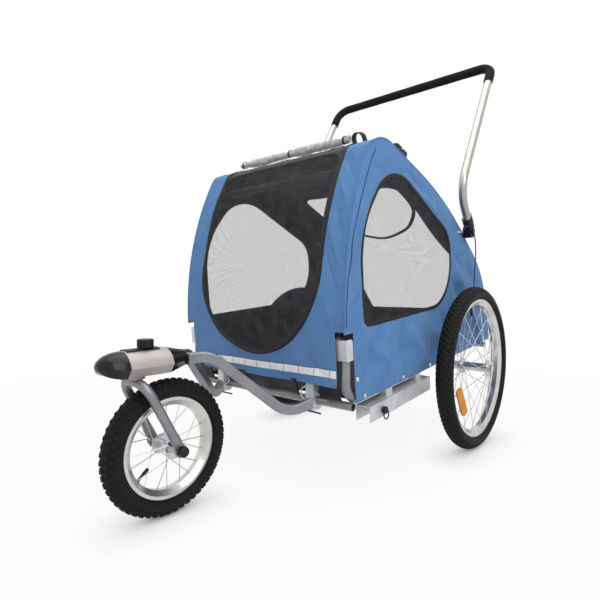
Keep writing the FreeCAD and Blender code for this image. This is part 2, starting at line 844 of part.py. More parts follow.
def handle_brackets():
    near = base_half + hoop_r + 0.2
    wire = rounded_wire([((strap_from, near, 0), 0), ((strap_to, near, 0), 6.0),
                         ((strap_to, strap_out, 0), 6.0), ((strap_from, strap_out, 0), 10.0)], True)
    strap = Part.Face(wire).extrude(Vector(0, 0, strap_thick))
    return both(moved(strap, 0, 0, knuckle_rise - strap_thick / 2))


# Wheels, drawn about the origin with the axle along Y

def tyre(radius, width, rim_radius):
    """Hollow tyre whose beads sit inside the rim's flanges."""
    half = width / 2
    middle = radius - half
    edges = []
    loops = []
    for skin_in in (0.0, tyre_skin):
        r = half - skin_in
        bead = bead_half - skin_in
        foot = rim_radius - bead_deep
        neck = rim_radius + 1.0
        diag = r * math.sqrt(0.5)
        low = middle - r * 0.25
        swell = (neck + (low - neck) * 0.3, bead + (r * 0.968 - bead) * 0.7)
        loops.append(((foot, bead), (neck, bead), swell, (low, r * 0.968),
                      (middle + diag, diag), (middle + r, 0)))
    for foot, neck, swell, low, shoulder, crown in loops:
        for s in (1, -1):
            p = [Vector(a, s * b, 0) for a, b in (foot, neck, swell, low, shoulder, crown)]
            edges += [Part.LineSegment(p[0], p[1]).toShape(), Part.Arc(p[1], p[2], p[3]).toShape(),
                      Part.Arc(p[3], p[4], p[5]).toShape()]
    for s in (1, -1):
        ends = [Vector(loop[0][0], s * loop[0][1], 0) for loop in loops]
        edges.append(Part.LineSegment(*ends).toShape())
    return spun(Part.Wire(Part.__sortEdges__(edges)))


def rim(radius):
    """Channel-section rim."""
    inner = bead_half + seat_gap
    outer = inner + rim_wall
    bed = radius - rim_deep + rim_bed
    well = radius - bead_deep - 2.0
    low = radius - rim_deep
    half = [(radius, inner), (radius, outer), (radius - 7, outer), (low, outer * 0.45)]
    profile = half + [(r, -y) for r, y in reversed(half)]
    profile += [(well, -inner), (bed, -inner * 0.4), (bed, inner * 0.4), (well, inner)]
    return spun_profile(profile)


def spoke_ends(flange_r, flange_half, rim_radius):
    """Radius at the hub and at the rim, and the outer and inner spokes' places beside the flange."""
    foot = flange_r - spoke_hole
    tip = rim_radius - rim_deep - 2 * seat_gap
    lean = math.radians(spoke_cross)
    start = Vector(foot * math.cos(lean), foot * math.sin(lean), 0)
    run = Vector(tip, 0, 0) - start
    slant = start.dot(run)
    beside = (math.sqrt(slant ** 2 + run.dot(run) * (flange_r ** 2 - foot ** 2)) - slant) / run.dot(run)
    step = flange_thick / 2 + 2 * seat_gap + spoke_r
    outer = (flange_half + step - spoke_spread * beside) / (1 - beside)
    return foot, tip, outer, flange_half - step


def spokes(count, flange_r, flange_half, rim_radius):
    """Spokes that lean both ways around the hub, beside the flange faces."""
    made = []
    foot, tip, outer, inner = spoke_ends(flange_r, flange_half, rim_radius)
    for i in range(count):
        side = 1 if i % 2 == 0 else -1
        lean = 1 if (i // 2) % 2 == 0 else -1
        turn = math.radians(360.0 * i / count)
        root = turn + math.radians(spoke_cross * lean)
        start = (foot * math.cos(root), side * (outer if lean > 0 else inner), foot * math.sin(root))
        end = (tip * math.cos(turn), side * spoke_spread, tip * math.sin(turn))
        made.append(rod(start, end, spoke_r))
    return made


def hub(flange_r, flange_half, barrel_r, half, bore):
    f = flange_thick / 2
    side = [(barrel_r, flange_half - f), (flange_r, flange_half - f), (flange_r, flange_half + f),
            (barrel_r, flange_half + f), (barrel_r, half - 1.0), (barrel_r - 1.0, half)]
    profile = side + [(bore, half), (bore, -half)] + [(r, -y) for r, y in reversed(side)]
    return spun_profile(profile)


def spoke_reflector():
    """Amber plate clipped on the outer spokes, low at the front of the wheel."""
    foot, tip, outer, inner = spoke_ends(rear_flange_r, rear_flange_half, rear_rim_r)
    slope = (outer - spoke_spread) / (tip - foot)
    tilt = math.degrees(math.atan(slope))
    out = spoke_spread + (tip - reflector_at) * slope - reflector_sink
    half = reflector_long / 2
    high = reflector_high / 2
    corners = [(-half, -high), (half, -high), (half, high), (-half, high)]
    wire = rounded_wire([((a, 0, r), 10.0) for a, r in corners], True)
    shape = Part.Face(wire).extrude(Vector(0, reflector_thick, 0))
    shape.translate(Vector(0, spoke_r + seat_gap, 0))
    shape.rotate(Vector(0, 0, 0), Vector(1, 0, 0), tilt)
    shape.translate(Vector(0, out, reflector_at))
    shape.rotate(Vector(0, 0, 0), Vector(0, 1, 0), reflector_turn)
    return shape


# Fork and swivel head

def fork():
    foot = Vector(front_axle_x, fork_foot_half, front_r)
    crown = Vector(swivel_x, fork_crown_half, fork_crown_z)
    up = unit(crown - foot)
    start = foot + up * fork_end
    path = [(start, 0), (crown, fork_bend), (Vector(crown.x, -crown.y, crown.z), fork_bend),
            (Vector(start.x, -start.y, start.z), 0)]
    legs = tube(path, fork_r)
    flat = unit(Vector(up.x, 0, up.z))
    side = Vector(flat.z, 0, -flat.x)
    near = fork_foot_half - dropout_thick / 2
    base = Vector(front_axle_x, near, front_r)
    tab = [base + side * s * dropout_r * 0.75 + flat * d for s, d in ((1, 0), (1, 40), (-1, 40), (-1, 0))]
    tab = Part.Face(Part.makePolygon(tab + tab[:1])).extrude(Vector(0, dropout_thick, 0))
    eye = cross_rod(front_axle_x, front_r, near, near + dropout_thick, dropout_r)
    plate_left = fused([tab, eye])
    head = head_floor - seat_gap
    disc = rod((swivel_x, 0, head - crown_thick), (swivel_x, 0, head), crown_r)
    stem = rod((swivel_x, 0, head - 1), (swivel_x, 0, stem_top), stem_r)
    shape = fused([legs, plate_left, mirrored(plate_left), disc, stem])
    far = fork_foot_half * 2
    return shape.cut(cross_rod(front_axle_x, front_r, -far, far, front_axle_r + run_clear))


def front_axle():
    face = fork_foot_half + dropout_thick / 2 + seat_gap
    shaft = cross_rod(front_axle_x, front_r, -face - 1, face + 1, front_axle_r)
    nut = cross_rod(front_axle_x, front_r, face, face + cap_nut, cap_nut_r)
    nut = nut.makeFillet(4.0, [e for e in nut.Edges if e.BoundBox.YMin > face + cap_nut - 0.1])
    return fused([shaft, nut, mirrored(nut)])


def head_wire(x, share=1.0):
    """Cross-section of the head: flat underside, flared sides, rounded top."""
    def at(y, z):
        return Vector(x, y * share, cap_z + (z - cap_z) * share)
    edges = [Part.LineSegment(at(-head_floor_half, head_floor), at(head_floor_half, head_floor)).toShape(),
             Part.LineSegment(at(head_floor_half, head_floor), at(head_half, head_edge)).toShape(),
             Part.Arc(at(head_half, head_edge), at(0, head_top), at(-head_half, head_edge)).toShape(),
             Part.LineSegment(at(-head_half, head_edge), at(-head_floor_half, head_floor)).toShape()]
    return Part.Wire(edges)


def head_shell():
    shape = Part.Face(head_wire(shell_back)).extrude(Vector(shell_front - shell_back, 0, 0))
    stem = rod((swivel_x, 0, head_floor - 5), (swivel_x, 0, stem_top + 2), stem_r + run_clear)
    shaft = rod((knob_x, 0, head_top - knob_shaft), (knob_x, 0, head_top + 9), knob_shaft_r + run_clear)
    return drilled(shape, [stem, shaft])


def head_end_caps():
    """Nose cap rounded to a tip, and a rear cap that narrows to the arms."""
    start = shell_front + seat_gap
    reach = nose_reach - start
    wires = []
    for k in range(6):
        turn = math.radians(16.4 * k)
        wires.append(head_wire(start + reach * math.sin(turn) / math.sin(math.radians(82)), math.cos(turn)))
    nose = Part.makeLoft(wires, True)
    back = Part.makeLoft([head_wire(shell_back - seat_gap), head_wire(rear_cap_back, rear_cap_share)], True)
    return [nose, back]


def top_arc():
    """Radius and centre height of the head's rounded top."""
    rise = head_top - head_edge
    radius = (head_half ** 2 + rise ** 2) / (2 * rise)
    return radius, head_top - radius


def knob_plate():
    radius, centre = top_arc()
    low = radius + 0.1
    high = low + plate_thick
    angle = math.radians(plate_angle)
    points = []
    for r in (low, high):
        turns = (-angle, 0, angle)
        points.append([Vector(plate_back, r * math.sin(a), centre + r * math.cos(a)) for a in turns])
    edges = [Part.Arc(*points[0]).toShape(), Part.Arc(*points[1]).toShape(),
             Part.LineSegment(points[0][0], points[1][0]).toShape(),
             Part.LineSegment(points[0][2], points[1][2]).toShape()]
    shape = Part.Face(Part.Wire(Part.__sortEdges__(edges))).extrude(Vector(plate_front - plate_back, 0, 0))
    return shape.cut(rod((knob_x, 0, head_edge), (knob_x, 0, head_top + 9), knob_shaft_r + run_clear))


def swivel_knob():
    base = head_top + 0.1 + plate_thick + 0.4
    body = rod((knob_x, 0, base), (knob_x, 0, base + knob_high), knob_r)
    body = body.makeFillet(3.0, [e for e in body.Edges if e.BoundBox.ZMin > base + knob_high - 0.1])
    for k in range(knob_ribs):
        turn = 2 * math.pi * k / knob_ribs
        x = knob_x + (knob_r + 1.2) * math.cos(turn)
        y = (knob_r + 1.2) * math.sin(turn)
        body = body.cut(rod((x, y, base + 3), (x, y, base + knob_high + 1), 3.0))
    shaft = rod((knob_x, 0, head_top - knob_shaft + 1), (knob_x, 0, base + 1), knob_shaft_r)
    return fused([body, shaft])


# Jogger kit

def jogger_arm():
    """Box-section arm from the head back and down to the left bracket."""
    head = Vector(arm_head)
    foot = Vector(arm_foot)
    plan = Vector(foot.x - head.x, foot.y - head.y, 0)
    shares = [(-0.12, arm_head[2] - 0.12 * (arm_crest_z - arm_head[2]) / arm_crest_share, 0),
              (arm_crest_share, arm_crest_z, arm_bend), (arm_dip_share, arm_dip_z, arm_bend),
              (1.1, foot.z + 0.1 * (foot.z - arm_dip_z) / (1 - arm_dip_share), 0)]
    path = [(Vector(head.x + plan.x * s, head.y + plan.y * s, z), radius) for s, z, radius in shares]
    run = unit(path[1][0] - path[0][0])
    side = unit(Vector(-plan.y, plan.x, 0))
    up = run.cross(side)
    start = path[0][0]
    corners = [(start + side * (a * arm_wide / 2) + up * (b * arm_high / 2), 3.0)
               for a, b in ((1, 1), (-1, 1), (-1, -1), (1, -1))]
    shape = rounded_wire(path).makePipe(Part.Face(rounded_wire(corners, True)))
    return shape.common(block((grip_front + seat_gap, seat_gap / 2, 0),
                              (rear_cap_back - seat_gap, track_half, knuckle_z)))


def jogger_brackets():
    """Forked bracket that drops over the front cross tube and is pinned above it."""
    near = arm_foot[1] - grip_wide / 2
    far = arm_foot[1] + grip_wide / 2
    shape = plate([(grip_back, grip_floor, 4.0), (grip_front, grip_floor, 0.0),
                   (grip_front, grip_top, 4.0), (grip_back, grip_top, 10.0)], near, far)
    inside = block((grip_back - 1, near + grip_plate, grip_floor - 1),
                   (grip_front - grip_plate, far - grip_plate, grip_top + 1))
    room = cross_r + seat_gap
    slot = cross_rod(front_cross_x, front_cross_z, near - 1, far + 1, room)
    mouth = block((grip_back - 20, near - 1, front_cross_z - room),
                  (front_cross_x, far + 1, front_cross_z + room))
    pin = cross_rod(lock_pin_x, lock_pin_z, near - 1, far + 1, lock_pin_r + run_clear)
    return both(drilled(shape, [inside, slot, mouth, pin]))


def lock_clips():
    """Wire spring clips on the inner faces of the brackets."""
    near = arm_foot[1] - grip_wide / 2 - seat_gap - clip_r
    x = grip_front - 4.5
    z = lock_pin_z - 4.0
    out = near - clip_out
    path = [((x, near, z + clip_half), 0), ((x, out, z + clip_half * 0.5), 7.0),
            ((x, out, z - clip_half * 0.5), 7.0), ((x, near, z - clip_half), 0)]
    shape = tube(path, clip_r)
    feet = [Part.makeSphere(clip_r, Vector(path[k][0])) for k in (0, 3)]
    return both(fused([shape] + feet))


def bracket_tabs():
    """Flat release tabs under the brackets, pointing back and down."""
    shape = block((-tab_long, -tab_wide / 2, -tab_thick), (0, tab_wide / 2, 0))
    ends = [e for e in shape.Edges if e.Length < tab_thick + 0.1]
    shape = shape.makeFillet(3.0, ends)
    shape.rotate(Vector(0, 0, 0), Vector(0, 1, 0), -tab_droop)
    return both(moved(shape, grip_front, arm_foot[1], grip_floor - seat_gap))


def jogger_pin():
    near = arm_foot[1] - grip_wide / 2 - 3.0
    far = arm_foot[1] + grip_wide / 2 + seat_gap
    pin = cross_rod(lock_pin_x, lock_pin_z, near, far + 1, lock_pin_r)
    head = cross_rod(lock_pin_x, lock_pin_z, far, far + lock_head, lock_head_r)
    return fused([pin, head])


# Push handle

pivot_point = Vector(knuckle_x, socket_side, knuckle_z)
knee_point = Vector(knee_x, socket_side + knee_out, knee_z)
top_point = Vector(handle_x, socket_side + handle_out, handle_z)
socket_run = unit(knee_point - pivot_point)
pin_run = unit(Vector(-socket_run.z, 0, socket_run.x))


def handle_knuckles():
    """Fixed half of a knuckle on its strap, with the bolt the handle turns on."""
    half = cross_rod(knuckle_along, knuckle_rise, knuckle_in, knuckle_split, knuckle_r)
    half = half.cut(strap_slot())
    bolt = cross_rod(knuckle_along, knuckle_rise, knuckle_split - 1, knuckle_out + 2, knuckle_bolt_r)
    face = knuckle_out + seat_gap
    head = cross_rod(knuckle_along, knuckle_rise, face, face + knuckle_head, knuckle_head_r)
    return both(fused([half, bolt, head]))


def leg_path(inner, outer):
    """Corners of the handle from the left knuckle over the top to the right one."""
    left = [(inner, 0), (knee_point, knee_bend), (outer, handle_bend)]
    return left + [(Vector(p.x, -p.y, p.z), r) for p, r in reversed(left)]


def pin_hole():
    at = pivot_point + socket_run * handle_pin_at
    return rod(at - pin_run * 40, at + pin_run * 40, handle_pin_r + run_clear)


def push_handle_tube():
    shape = tube(leg_path(pivot_point + socket_run * tube_set, top_point), handle_r, handle_r - tube_wall)
    return drilled(shape, both(pin_hole()))


def handle_grip():
    """Foam sleeve over the top bar and its corners."""
    down = unit(knee_point - top_point)
    start = top_point + down * grip_leg
    path = [(start, 0), (top_point, handle_bend)]
    path += [(Vector(p.x, -p.y, p.z), r) for p, r in reversed(path)]
    return tube(path, grip_r, handle_r + run_clear)


def handle_sockets():
    disc = cross_rod(knuckle_x, knuckle_z, knuckle_split + seat_gap, knuckle_out, knuckle_r)
    collar = rod(pivot_point + socket_run * 4, pivot_point + socket_run * socket_long, socket_r)
    hub_room = cross_rod(knuckle_x, knuckle_z, 0, knuckle_split + seat_gap, knuckle_r + 1.5)
    head_room = cross_rod(knuckle_x, knuckle_z, knuckle_out, knuckle_out + 40, knuckle_r + 1.5)
    collar = drilled(collar, [hub_room, head_room])
    bolt = cross_rod(knuckle_x, knuckle_z, 0, knuckle_out + 40, knuckle_bolt_r + run_clear)
    leg = rod(pivot_point + socket_run * (tube_set - 0.5), pivot_point + socket_run * (socket_long + 9),
              handle_r + run_clear)
    return both(drilled(fused([disc, collar]), [bolt, leg, pin_hole()]))


def handle_pin():
    at = pivot_point + socket_run * handle_pin_at
    end = at + pin_run * handle_pin_over
    pin = rod(at - pin_run * handle_pin_under, end, handle_pin_r)
    ring = pull_ring(end + pin_run * (ring_r - 2), (0, 1, 0))
    return fused([pin, ring])


def cord_corners(points):
    """Route corners with the tangent bend each one has room for."""
    points = [Vector(p) for p in points]
    corners = [(points[0], 0)]
    for a, b, c in zip(points, points[1:], points[2:]):
        turn = math.acos(unit(b - a).dot(unit(c - b)))
        radius = 0.45 * min((b - a).Length, (c - b).Length) / math.tan(turn / 2)
        print("lanyard bend", round(radius, 1))
        corners.append((b, radius))
    return corners + [(points[-1], 0)]


def lanyard_cord():
    shape = tube(cord_corners(lanyard), lanyard_r)
    print("lanyard length", round(shape.Volume / (math.pi * lanyard_r ** 2), 1))
    return fused([shape, Part.makeSphere(knot_r, Vector(lanyard[-1]))])


# Pieces, each on the frame it was drawn in

def wheel(names, radius, width, rim_radius, hub_sizes, count, bore, place):
    flange_r, flange_half, barrel_r, half = hub_sizes
    shapes = [tyre(radius, width, rim_radius), rim(rim_radius),
              spokes(count, flange_r, flange_half, rim_radius),
              hub(flange_r, flange_half, barrel_r, half, bore + run_clear)]
    for name, shape in zip(names, shapes):
        group = shape if isinstance(shape, list) else [shape]
        save(name, [moved(s, *place) for s in group], floor_frame)


def save(node, shapes, frame):
    shapes = shapes if isinstance(shapes, list) else [shapes]
    placed = []
    for shape in shapes:
        shape = shape.copy()
        shape.Placement = frame.multiply(shape.Placement)
        placed.append(shape)
    result = placed[0] if len(placed) == 1 else Part.makeCompound(placed)
    result.exportStep("parts/" + node + ".step")
    print(node, len(result.Solids), result.isValid(), round(result.Volume / 1000.0, 2))


def main():
    os.makedirs("parts", exist_ok=True)
    left_wall = side_wall()
    left_mesh = window_mesh()
    body = {
        "base_side_tubes": base_side_tubes(),
        "base_cross_tubes": base_cross_tubes(),
        "floor_panel": floor_panel(),
        "fold_brackets": fold_brackets(),
        "axle_receivers": axle_receivers(),
        "rear_axles": rear_axles(),
        "tow_channel": tow_channel(),
        "tow_pin": tow_pin(),
        "cabin_left_wall": left_wall,
        "cabin_right_wall": mirrored(left_wall),
        "left_window_mesh": left_mesh,
        "right_window_mesh": mirrored(left_mesh),
        "window_bindings": both(window_ring()),
        "cabin_front_panel": front_panel(),
        "front_door_mesh": front_door_mesh(),
        "front_door_binding": front_door_ring(),
        "cabin_roof_panel": roof_panel(),
        "rear_window_mesh": back_window_mesh(),
        "front_skirt": front_skirt(),
        "reflective_strip": reflective_strip(),
        "rain_cover_roll": rain_cover_roll(),
        "rain_cover_ties": rain_cover_ties(),
        "roof_buckle": roof_buckle(),
        "front_hoop_tube": front_hoop_tube(),
        "hoop_collars": hoop_collars(),
        "rear_hoop_tube": rear_hoop_tube(),
        "handle_brackets": handle_brackets(),
        "handle_knuckles": handle_knuckles(),
    }
    arm = jogger_arm()
    pin = jogger_pin()
    lock = handle_pin()
    floor = {
        "fork": fork(),
        "front_axle": front_axle(),
        "head_shell": head_shell(),
        "head_end_caps": head_end_caps(),
        "knob_plate": knob_plate(),
        "swivel_knob": swivel_knob(),
        "jogger_arm_left": arm,
        "jogger_arm_right": mirrored(arm),
        "jogger_brackets": jogger_brackets(),
        "lock_clips": lock_clips(),
        "bracket_tabs": bracket_tabs(),
        "jogger_pin_left": pin,
        "jogger_pin_right": mirrored(pin),
        "push_handle_tube": push_handle_tube(),
        "handle_grip": handle_grip(),
        "handle_sockets": handle_sockets(),
        "handle_pin_left": lock,
        "handle_pin_right": mirrored(lock),
        "lanyard_cord": lanyard_cord(),
        "spoke_reflector_left": moved(spoke_reflector(), 0, track_half, rear_r),
    }
    for node, shapes in body.items():
        save(node, shapes, body_frame)
    for node, shapes in floor.items():
        save(node, shapes, floor_frame)
    rear_hub = (rear_flange_r, rear_flange_half, rear_barrel_r, rear_hub_half)
    front_hub = (front_flange_r, front_flange_half, front_barrel_r, front_hub_half)
    for side, y in (("left", track_half), ("right", -track_half)):
        names = [piece + "_" + side for piece in ("rear_tyre", "rear_rim", "rear_spokes", "rear_hub")]
        wheel(names, rear_r, rear_width, rear_rim_r, rear_hub, rear_spokes, rear_axle_r, (0, y, rear_r))
    names = ["front_tyre", "front_rim", "front_spokes", "front_hub"]
    place = (front_axle_x, 0, front_r)
    wheel(names, front_r, front_width, front_rim_r, front_hub, front_spokes, front_axle_r, place)


main()
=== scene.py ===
import bpy
import bmesh
import functools
import math
import numpy as np
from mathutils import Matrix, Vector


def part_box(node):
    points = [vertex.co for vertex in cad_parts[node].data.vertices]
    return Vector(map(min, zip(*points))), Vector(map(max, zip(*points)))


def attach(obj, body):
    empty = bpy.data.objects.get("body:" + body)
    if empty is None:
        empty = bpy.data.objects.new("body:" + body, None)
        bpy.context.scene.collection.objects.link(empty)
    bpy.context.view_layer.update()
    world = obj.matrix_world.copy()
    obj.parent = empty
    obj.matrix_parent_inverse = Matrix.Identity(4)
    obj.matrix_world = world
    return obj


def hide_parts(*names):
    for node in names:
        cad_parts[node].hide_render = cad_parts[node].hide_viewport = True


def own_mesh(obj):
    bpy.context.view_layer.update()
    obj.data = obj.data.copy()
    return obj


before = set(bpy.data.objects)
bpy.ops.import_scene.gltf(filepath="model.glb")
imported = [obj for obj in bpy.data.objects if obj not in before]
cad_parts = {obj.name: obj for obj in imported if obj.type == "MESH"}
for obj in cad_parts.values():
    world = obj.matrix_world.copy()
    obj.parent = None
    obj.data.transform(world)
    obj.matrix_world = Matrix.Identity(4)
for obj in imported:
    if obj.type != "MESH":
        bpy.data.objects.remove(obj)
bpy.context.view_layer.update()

scene = bpy.context.scene
scene.view_settings.view_transform = "Standard"
mm = 0.001
fullTurn = 2 * math.pi

# The body is drawn level, in mm along, across and up from the base tubes over the rear axle,
# then pitched nose down, lifted onto the axle and slid to the shared origin.
stance = {"pitch": 5.0, "lift": 282.0, "slide": -345.895}
pitchCos = math.cos(math.radians(stance["pitch"]))
pitchSin = math.sin(math.radians(stance["pitch"]))
bodyUp = (pitchSin, 0, pitchCos)


def onBody(along, side, rise):
    # turned by the pitch about the axle, then moved, in metres
    along, side, rise = np.broadcast_arrays(along, side, rise)
    x = along * pitchCos + rise * pitchSin + stance["slide"]
    z = stance["lift"] - along * pitchSin + rise * pitchCos
    return np.stack([x, side, z], -1) * mm


def onFloor(points):
    # level places, measured from the floor under the rear axle
    return (np.asarray(points, float) + (stance["slide"], 0, 0)) * mm


# camera

camera = {"place": (1.0756, 0.8852, 0.4926), "yaw": -140.25, "dip": -1.12, "lens": 27.51, "sensor": 36,
          "shift": (-0.0225, -0.0032), "nearest": 0.01}
cameraData = bpy.data.cameras.new("photoCamera")
cameraObject = bpy.data.objects.new("photoCamera", cameraData)
scene.collection.objects.link(cameraObject)
cameraData.lens = camera["lens"]
cameraData.sensor_width = camera["sensor"]
cameraData.shift_x, cameraData.shift_y = camera["shift"]
cameraData.clip_start = camera["nearest"]
cameraObject.location = camera["place"]
cameraObject.rotation_euler = (math.radians(90 + camera["dip"]), 0, math.radians(camera["yaw"] - 90))
scene.camera = cameraObject

# materials


def hexColor(text):
    # sRGB hex digits to the linear values that the shader takes
    values = np.array([int(text[k:k + 2], 16) for k in (1, 3, 5)]) / 255
    linear = np.where(values <= 0.04045, values / 12.92, ((values + 0.055) / 1.055) ** 2.4)
    return (*linear, 1.0)


def addNode(tree, kind, values=None, links=None, stops=(), **settings):
    # a link comes from a socket, or from a node's first output; stops are a ramp's places and hex colours
    node = tree.nodes.new("ShaderNode" + kind)
    for key, value in settings.items():
        setattr(node, key, value)
    for key, value in (values or {}).items():
        node.inputs[key].default_value = value
    for key, source in (links or {}).items():
        tree.links.new(source.outputs[0] if hasattr(source, "outputs") else source, node.inputs[key])
    for k, (place, color) in enumerate(stops):
        node.color_ramp.elements[k].position = place
        node.color_ramp.elements[k].color = hexColor(color)
    return node


def newMaterial(name, look, *values, **more):
    # a look adds its nodes to an empty tree and returns the shader of the surface
    material = bpy.data.materials.new(name)
    material.use_nodes = True
    material.node_tree.nodes.clear()
    add = functools.partial(addNode, material.node_tree)
    add("OutputMaterial", links={"Surface": look(add, *values, **more)})
    return material


def bandScale(spacing):
    # a Wave texture's bands repeat every 2 pi / 20 / scale
    return fullTurn / 20 / (spacing * mm)


def spotScale(size):
    # a Noise or Voronoi texture's spots are about 1 / scale wide
    return 1 / (size * mm)


def wovenCloth(add, color, shade, sheen, roughness, bump, coord="UV"):
    # coated polyester oxford: a plain weave of flat yarns, dull with a soft sheen, a little uneven in its dye;
    # drawn at 1.6 mm, coarser than real, so that it shows
    place = add("TexCoord").outputs[coord]
    warp, weft = (add("TexWave", {"Scale": bandScale(1.6)}, {"Vector": place}, bands_direction=way)
                  for way in "XY")
    weave = add("Math", links={0: warp.outputs["Fac"], 1: weft.outputs["Fac"]}, operation="MULTIPLY")
    cloud = add("TexNoise", {"Scale": spotScale(70), "Detail": 4.0}, {"Vector": place})
    slub = add("TexNoise", {"Scale": spotScale(6), "Detail": 3.0}, {"Vector": place})
    spread = add("Math", {1: 0.55}, {0: cloud}, operation="MULTIPLY")
    fine = add("Math", {1: 0.25}, {0: slub, 2: spread}, operation="MULTIPLY_ADD")
    total = add("Math", {1: 0.2}, {0: weave, 2: fine}, operation="MULTIPLY_ADD")
    tint = add("ValToRGB", links={"Fac": total}, stops=[(0.2, shade), (0.75, color)])
    wrinkle = add("TexNoise", {"Scale": spotScale(45), "Detail": 2.0, "Distortion": 0.6}, {"Vector": place})
    fold = add("Bump", {"Strength": 0.9, "Distance": 4.0 * mm}, {"Height": wrinkle})
    thread = add("Bump", {"Strength": bump, "Distance": 0.3 * mm}, {"Height": weave, "Normal": fold})
    return add("BsdfPrincipled",
               {"Roughness": roughness, "Sheen Weight": sheen, "Sheen Roughness": 0.5, "IOR": 1.45,
                "Specular IOR Level": 0.22}, {"Base Color": tint, "Normal": thread})


def netting(add, color, pale, spacing, thread):
    # knitted polyester net: thin black yarns with open cells, painted mid grey for the sheen of the lit threads; drawn
    # coarser than real, so that it shows
    place = add("TexCoord").outputs["UV"]
    lines = []
    for way in "XY":
        wave = add("TexWave", {"Scale": bandScale(spacing)}, {"Vector": place}, bands_direction=way)
        lines.append(add("MapRange", {"From Min": thread, "From Max": thread + 0.015},
                         {"Value": wave.outputs["Fac"]}))
    cover = add("Math", links={0: lines[0], 1: lines[1]}, operation="MAXIMUM")
    cloud = add("TexNoise", {"Scale": spotScale(30)}, {"Vector": place})
    # the yarns' two greys are painted sheen, mixed at random
    tint = add("ValToRGB", links={"Fac": cloud}, stops=[(0.3, color), (0.7, pale)])
    return add("BsdfPrincipled", {"Roughness": 0.7, "IOR": 1.5, "Specular IOR Level": 0.3},
               {"Base Color": tint, "Alpha": cover})


def webbing(add, color, pale, stitchAt, coil=0.0):
    # woven tape: fine ribs along it, a row of stitches near each edge, and a coil down the middle of a zip, whose pale
    # grey teeth are a painted sheen
    place = add("TexCoord").outputs["UV"]
    across = add("SeparateXYZ", links={0: place}).outputs["Y"]
    off = add("Math", links={0: across}, operation="ABSOLUTE")
    rib = add("TexWave", {"Scale": bandScale(1.1)}, {"Vector": place}, bands_direction="Y")
    row = add("Math", {1: stitchAt * mm, 2: 0.45 * mm}, {0: off}, operation="COMPARE")
    pulse = add("TexWave", {"Scale": bandScale(3.2)}, {"Vector": place}, bands_direction="X")
    dash = add("MapRange", {"From Min": 0.3, "From Max": 0.5}, {"Value": pulse.outputs["Fac"]})
    stitch = add("Math", links={0: row, 1: dash}, operation="MULTIPLY")
    if coil:
        # a zip's coil teeth take the stitches' grey: a painted sheen down the coil
        inside = add("Math", {1: coil * mm}, {0: off}, operation="LESS_THAN")
        tooth = add("TexWave", {"Scale": bandScale(1.8)}, {"Vector": place}, bands_direction="X")
        coils = add("Math", links={0: inside, 1: tooth.outputs["Fac"]}, operation="MULTIPLY")
        stitch = add("Math", links={0: stitch, 1: coils}, operation="MAXIMUM")
    cloud = add("TexNoise", {"Scale": spotScale(20), "Detail": 3.0}, {"Vector": place})
    plain = add("ValToRGB", links={"Fac": cloud}, stops=[(0.3, color), (0.75, pale)])
    tint = add("Mix", {"B": hexColor("#333336")}, {"Factor": stitch, "A": plain}, data_type="RGBA")
    height = add("Math", {1: 0.35}, {0: rib.outputs["Fac"], 2: stitch}, operation="MULTIPLY_ADD")
    relief = add("Bump", {"Strength": 0.5, "Distance": 0.5 * mm}, {"Height": height})
    return add("BsdfPrincipled", {"Roughness": 0.6, "Specular IOR Level": 0.3},
               {"Base Color": tint.outputs["Result"], "Normal": relief})


def metal(add, color, dark, roughness, grain, metallic=1.0, stretch=(1, 1, 1), bump=0.08):
    # drawn or pressed metal: its finish is fine scratches along the grain and a slow change of gloss
    place = add("TexCoord").outputs["Object"]
    turned = add("Mapping", {"Scale": stretch}, {"Vector": place})
    scratch = add("TexNoise", {"Scale": spotScale(grain), "Detail": 4.0}, {"Vector": turned})
    cloud = add("TexNoise", {"Scale": spotScale(40), "Detail": 3.0}, {"Vector": place})
    tint = add("ValToRGB", links={"Fac": cloud}, stops=[(0.3, dark), (0.65, color)])
    gloss = add("MapRange", {"To Min": roughness * 0.8, "To Max": roughness * 1.25}, {"Value": scratch})
    relief = add("Bump", {"Strength": bump, "Distance": 0.2 * mm}, {"Height": scratch})
    return add("BsdfPrincipled", {"Metallic": metallic},
               {"Base Color": tint, "Roughness": gloss, "Normal": relief})


def moulded(add, color, pale, roughness, grain, bump=0.15, specular=0.5):
    # injection moulded or cast piece: even colour, fine mould grain, slightly paler where hands rub it
    place = add("TexCoord").outputs["Object"]
    grit = add("TexNoise", {"Scale": spotScale(grain), "Detail": 3.0}, {"Vector": place})
    cloud = add("TexNoise", {"Scale": spotScale(35), "Detail": 4.0}, {"Vector": place})
    tint = add("ValToRGB", links={"Fac": cloud}, stops=[(0.35, color), (0.75, pale)])
    gloss = add("MapRange", {"To Min": roughness * 0.85, "To Max": min(1.0, roughness * 1.2)},
                {"Value": cloud})
    relief = add("Bump", {"Strength": bump, "Distance": 0.3 * mm}, {"Height": grit})
    return add("BsdfPrincipled", {"IOR": 1.5, "Specular IOR Level": specular},
               {"Base Color": tint, "Roughness": gloss, "Normal": relief})


def softFilm(add):
    # clear soft PVC film: smooth and glossy, milky where it is rolled, with short creases
    place = add("TexCoord").outputs["Object"]
    milk = add("TexNoise", {"Scale": spotScale(22), "Detail": 3.0, "Distortion": 1.5}, {"Vector": place})
    cover = add("MapRange", {"From Min": 0.35, "From Max": 0.7, "To Min": 0.4, "To Max": 0.85},
                {"Value": milk})
    tint = add("ValToRGB", links={"Fac": milk}, stops=[(0.3, "#c4c6c6"), (0.7, "#f4f5f5")])
    relief = add("Bump", {"Strength": 0.7, "Distance": 2 * mm}, {"Height": milk})
    return add("BsdfPrincipled", {"Roughness": 0.12, "IOR": 1.53},
               {"Base Color": tint, "Alpha": cover, "Normal": relief})


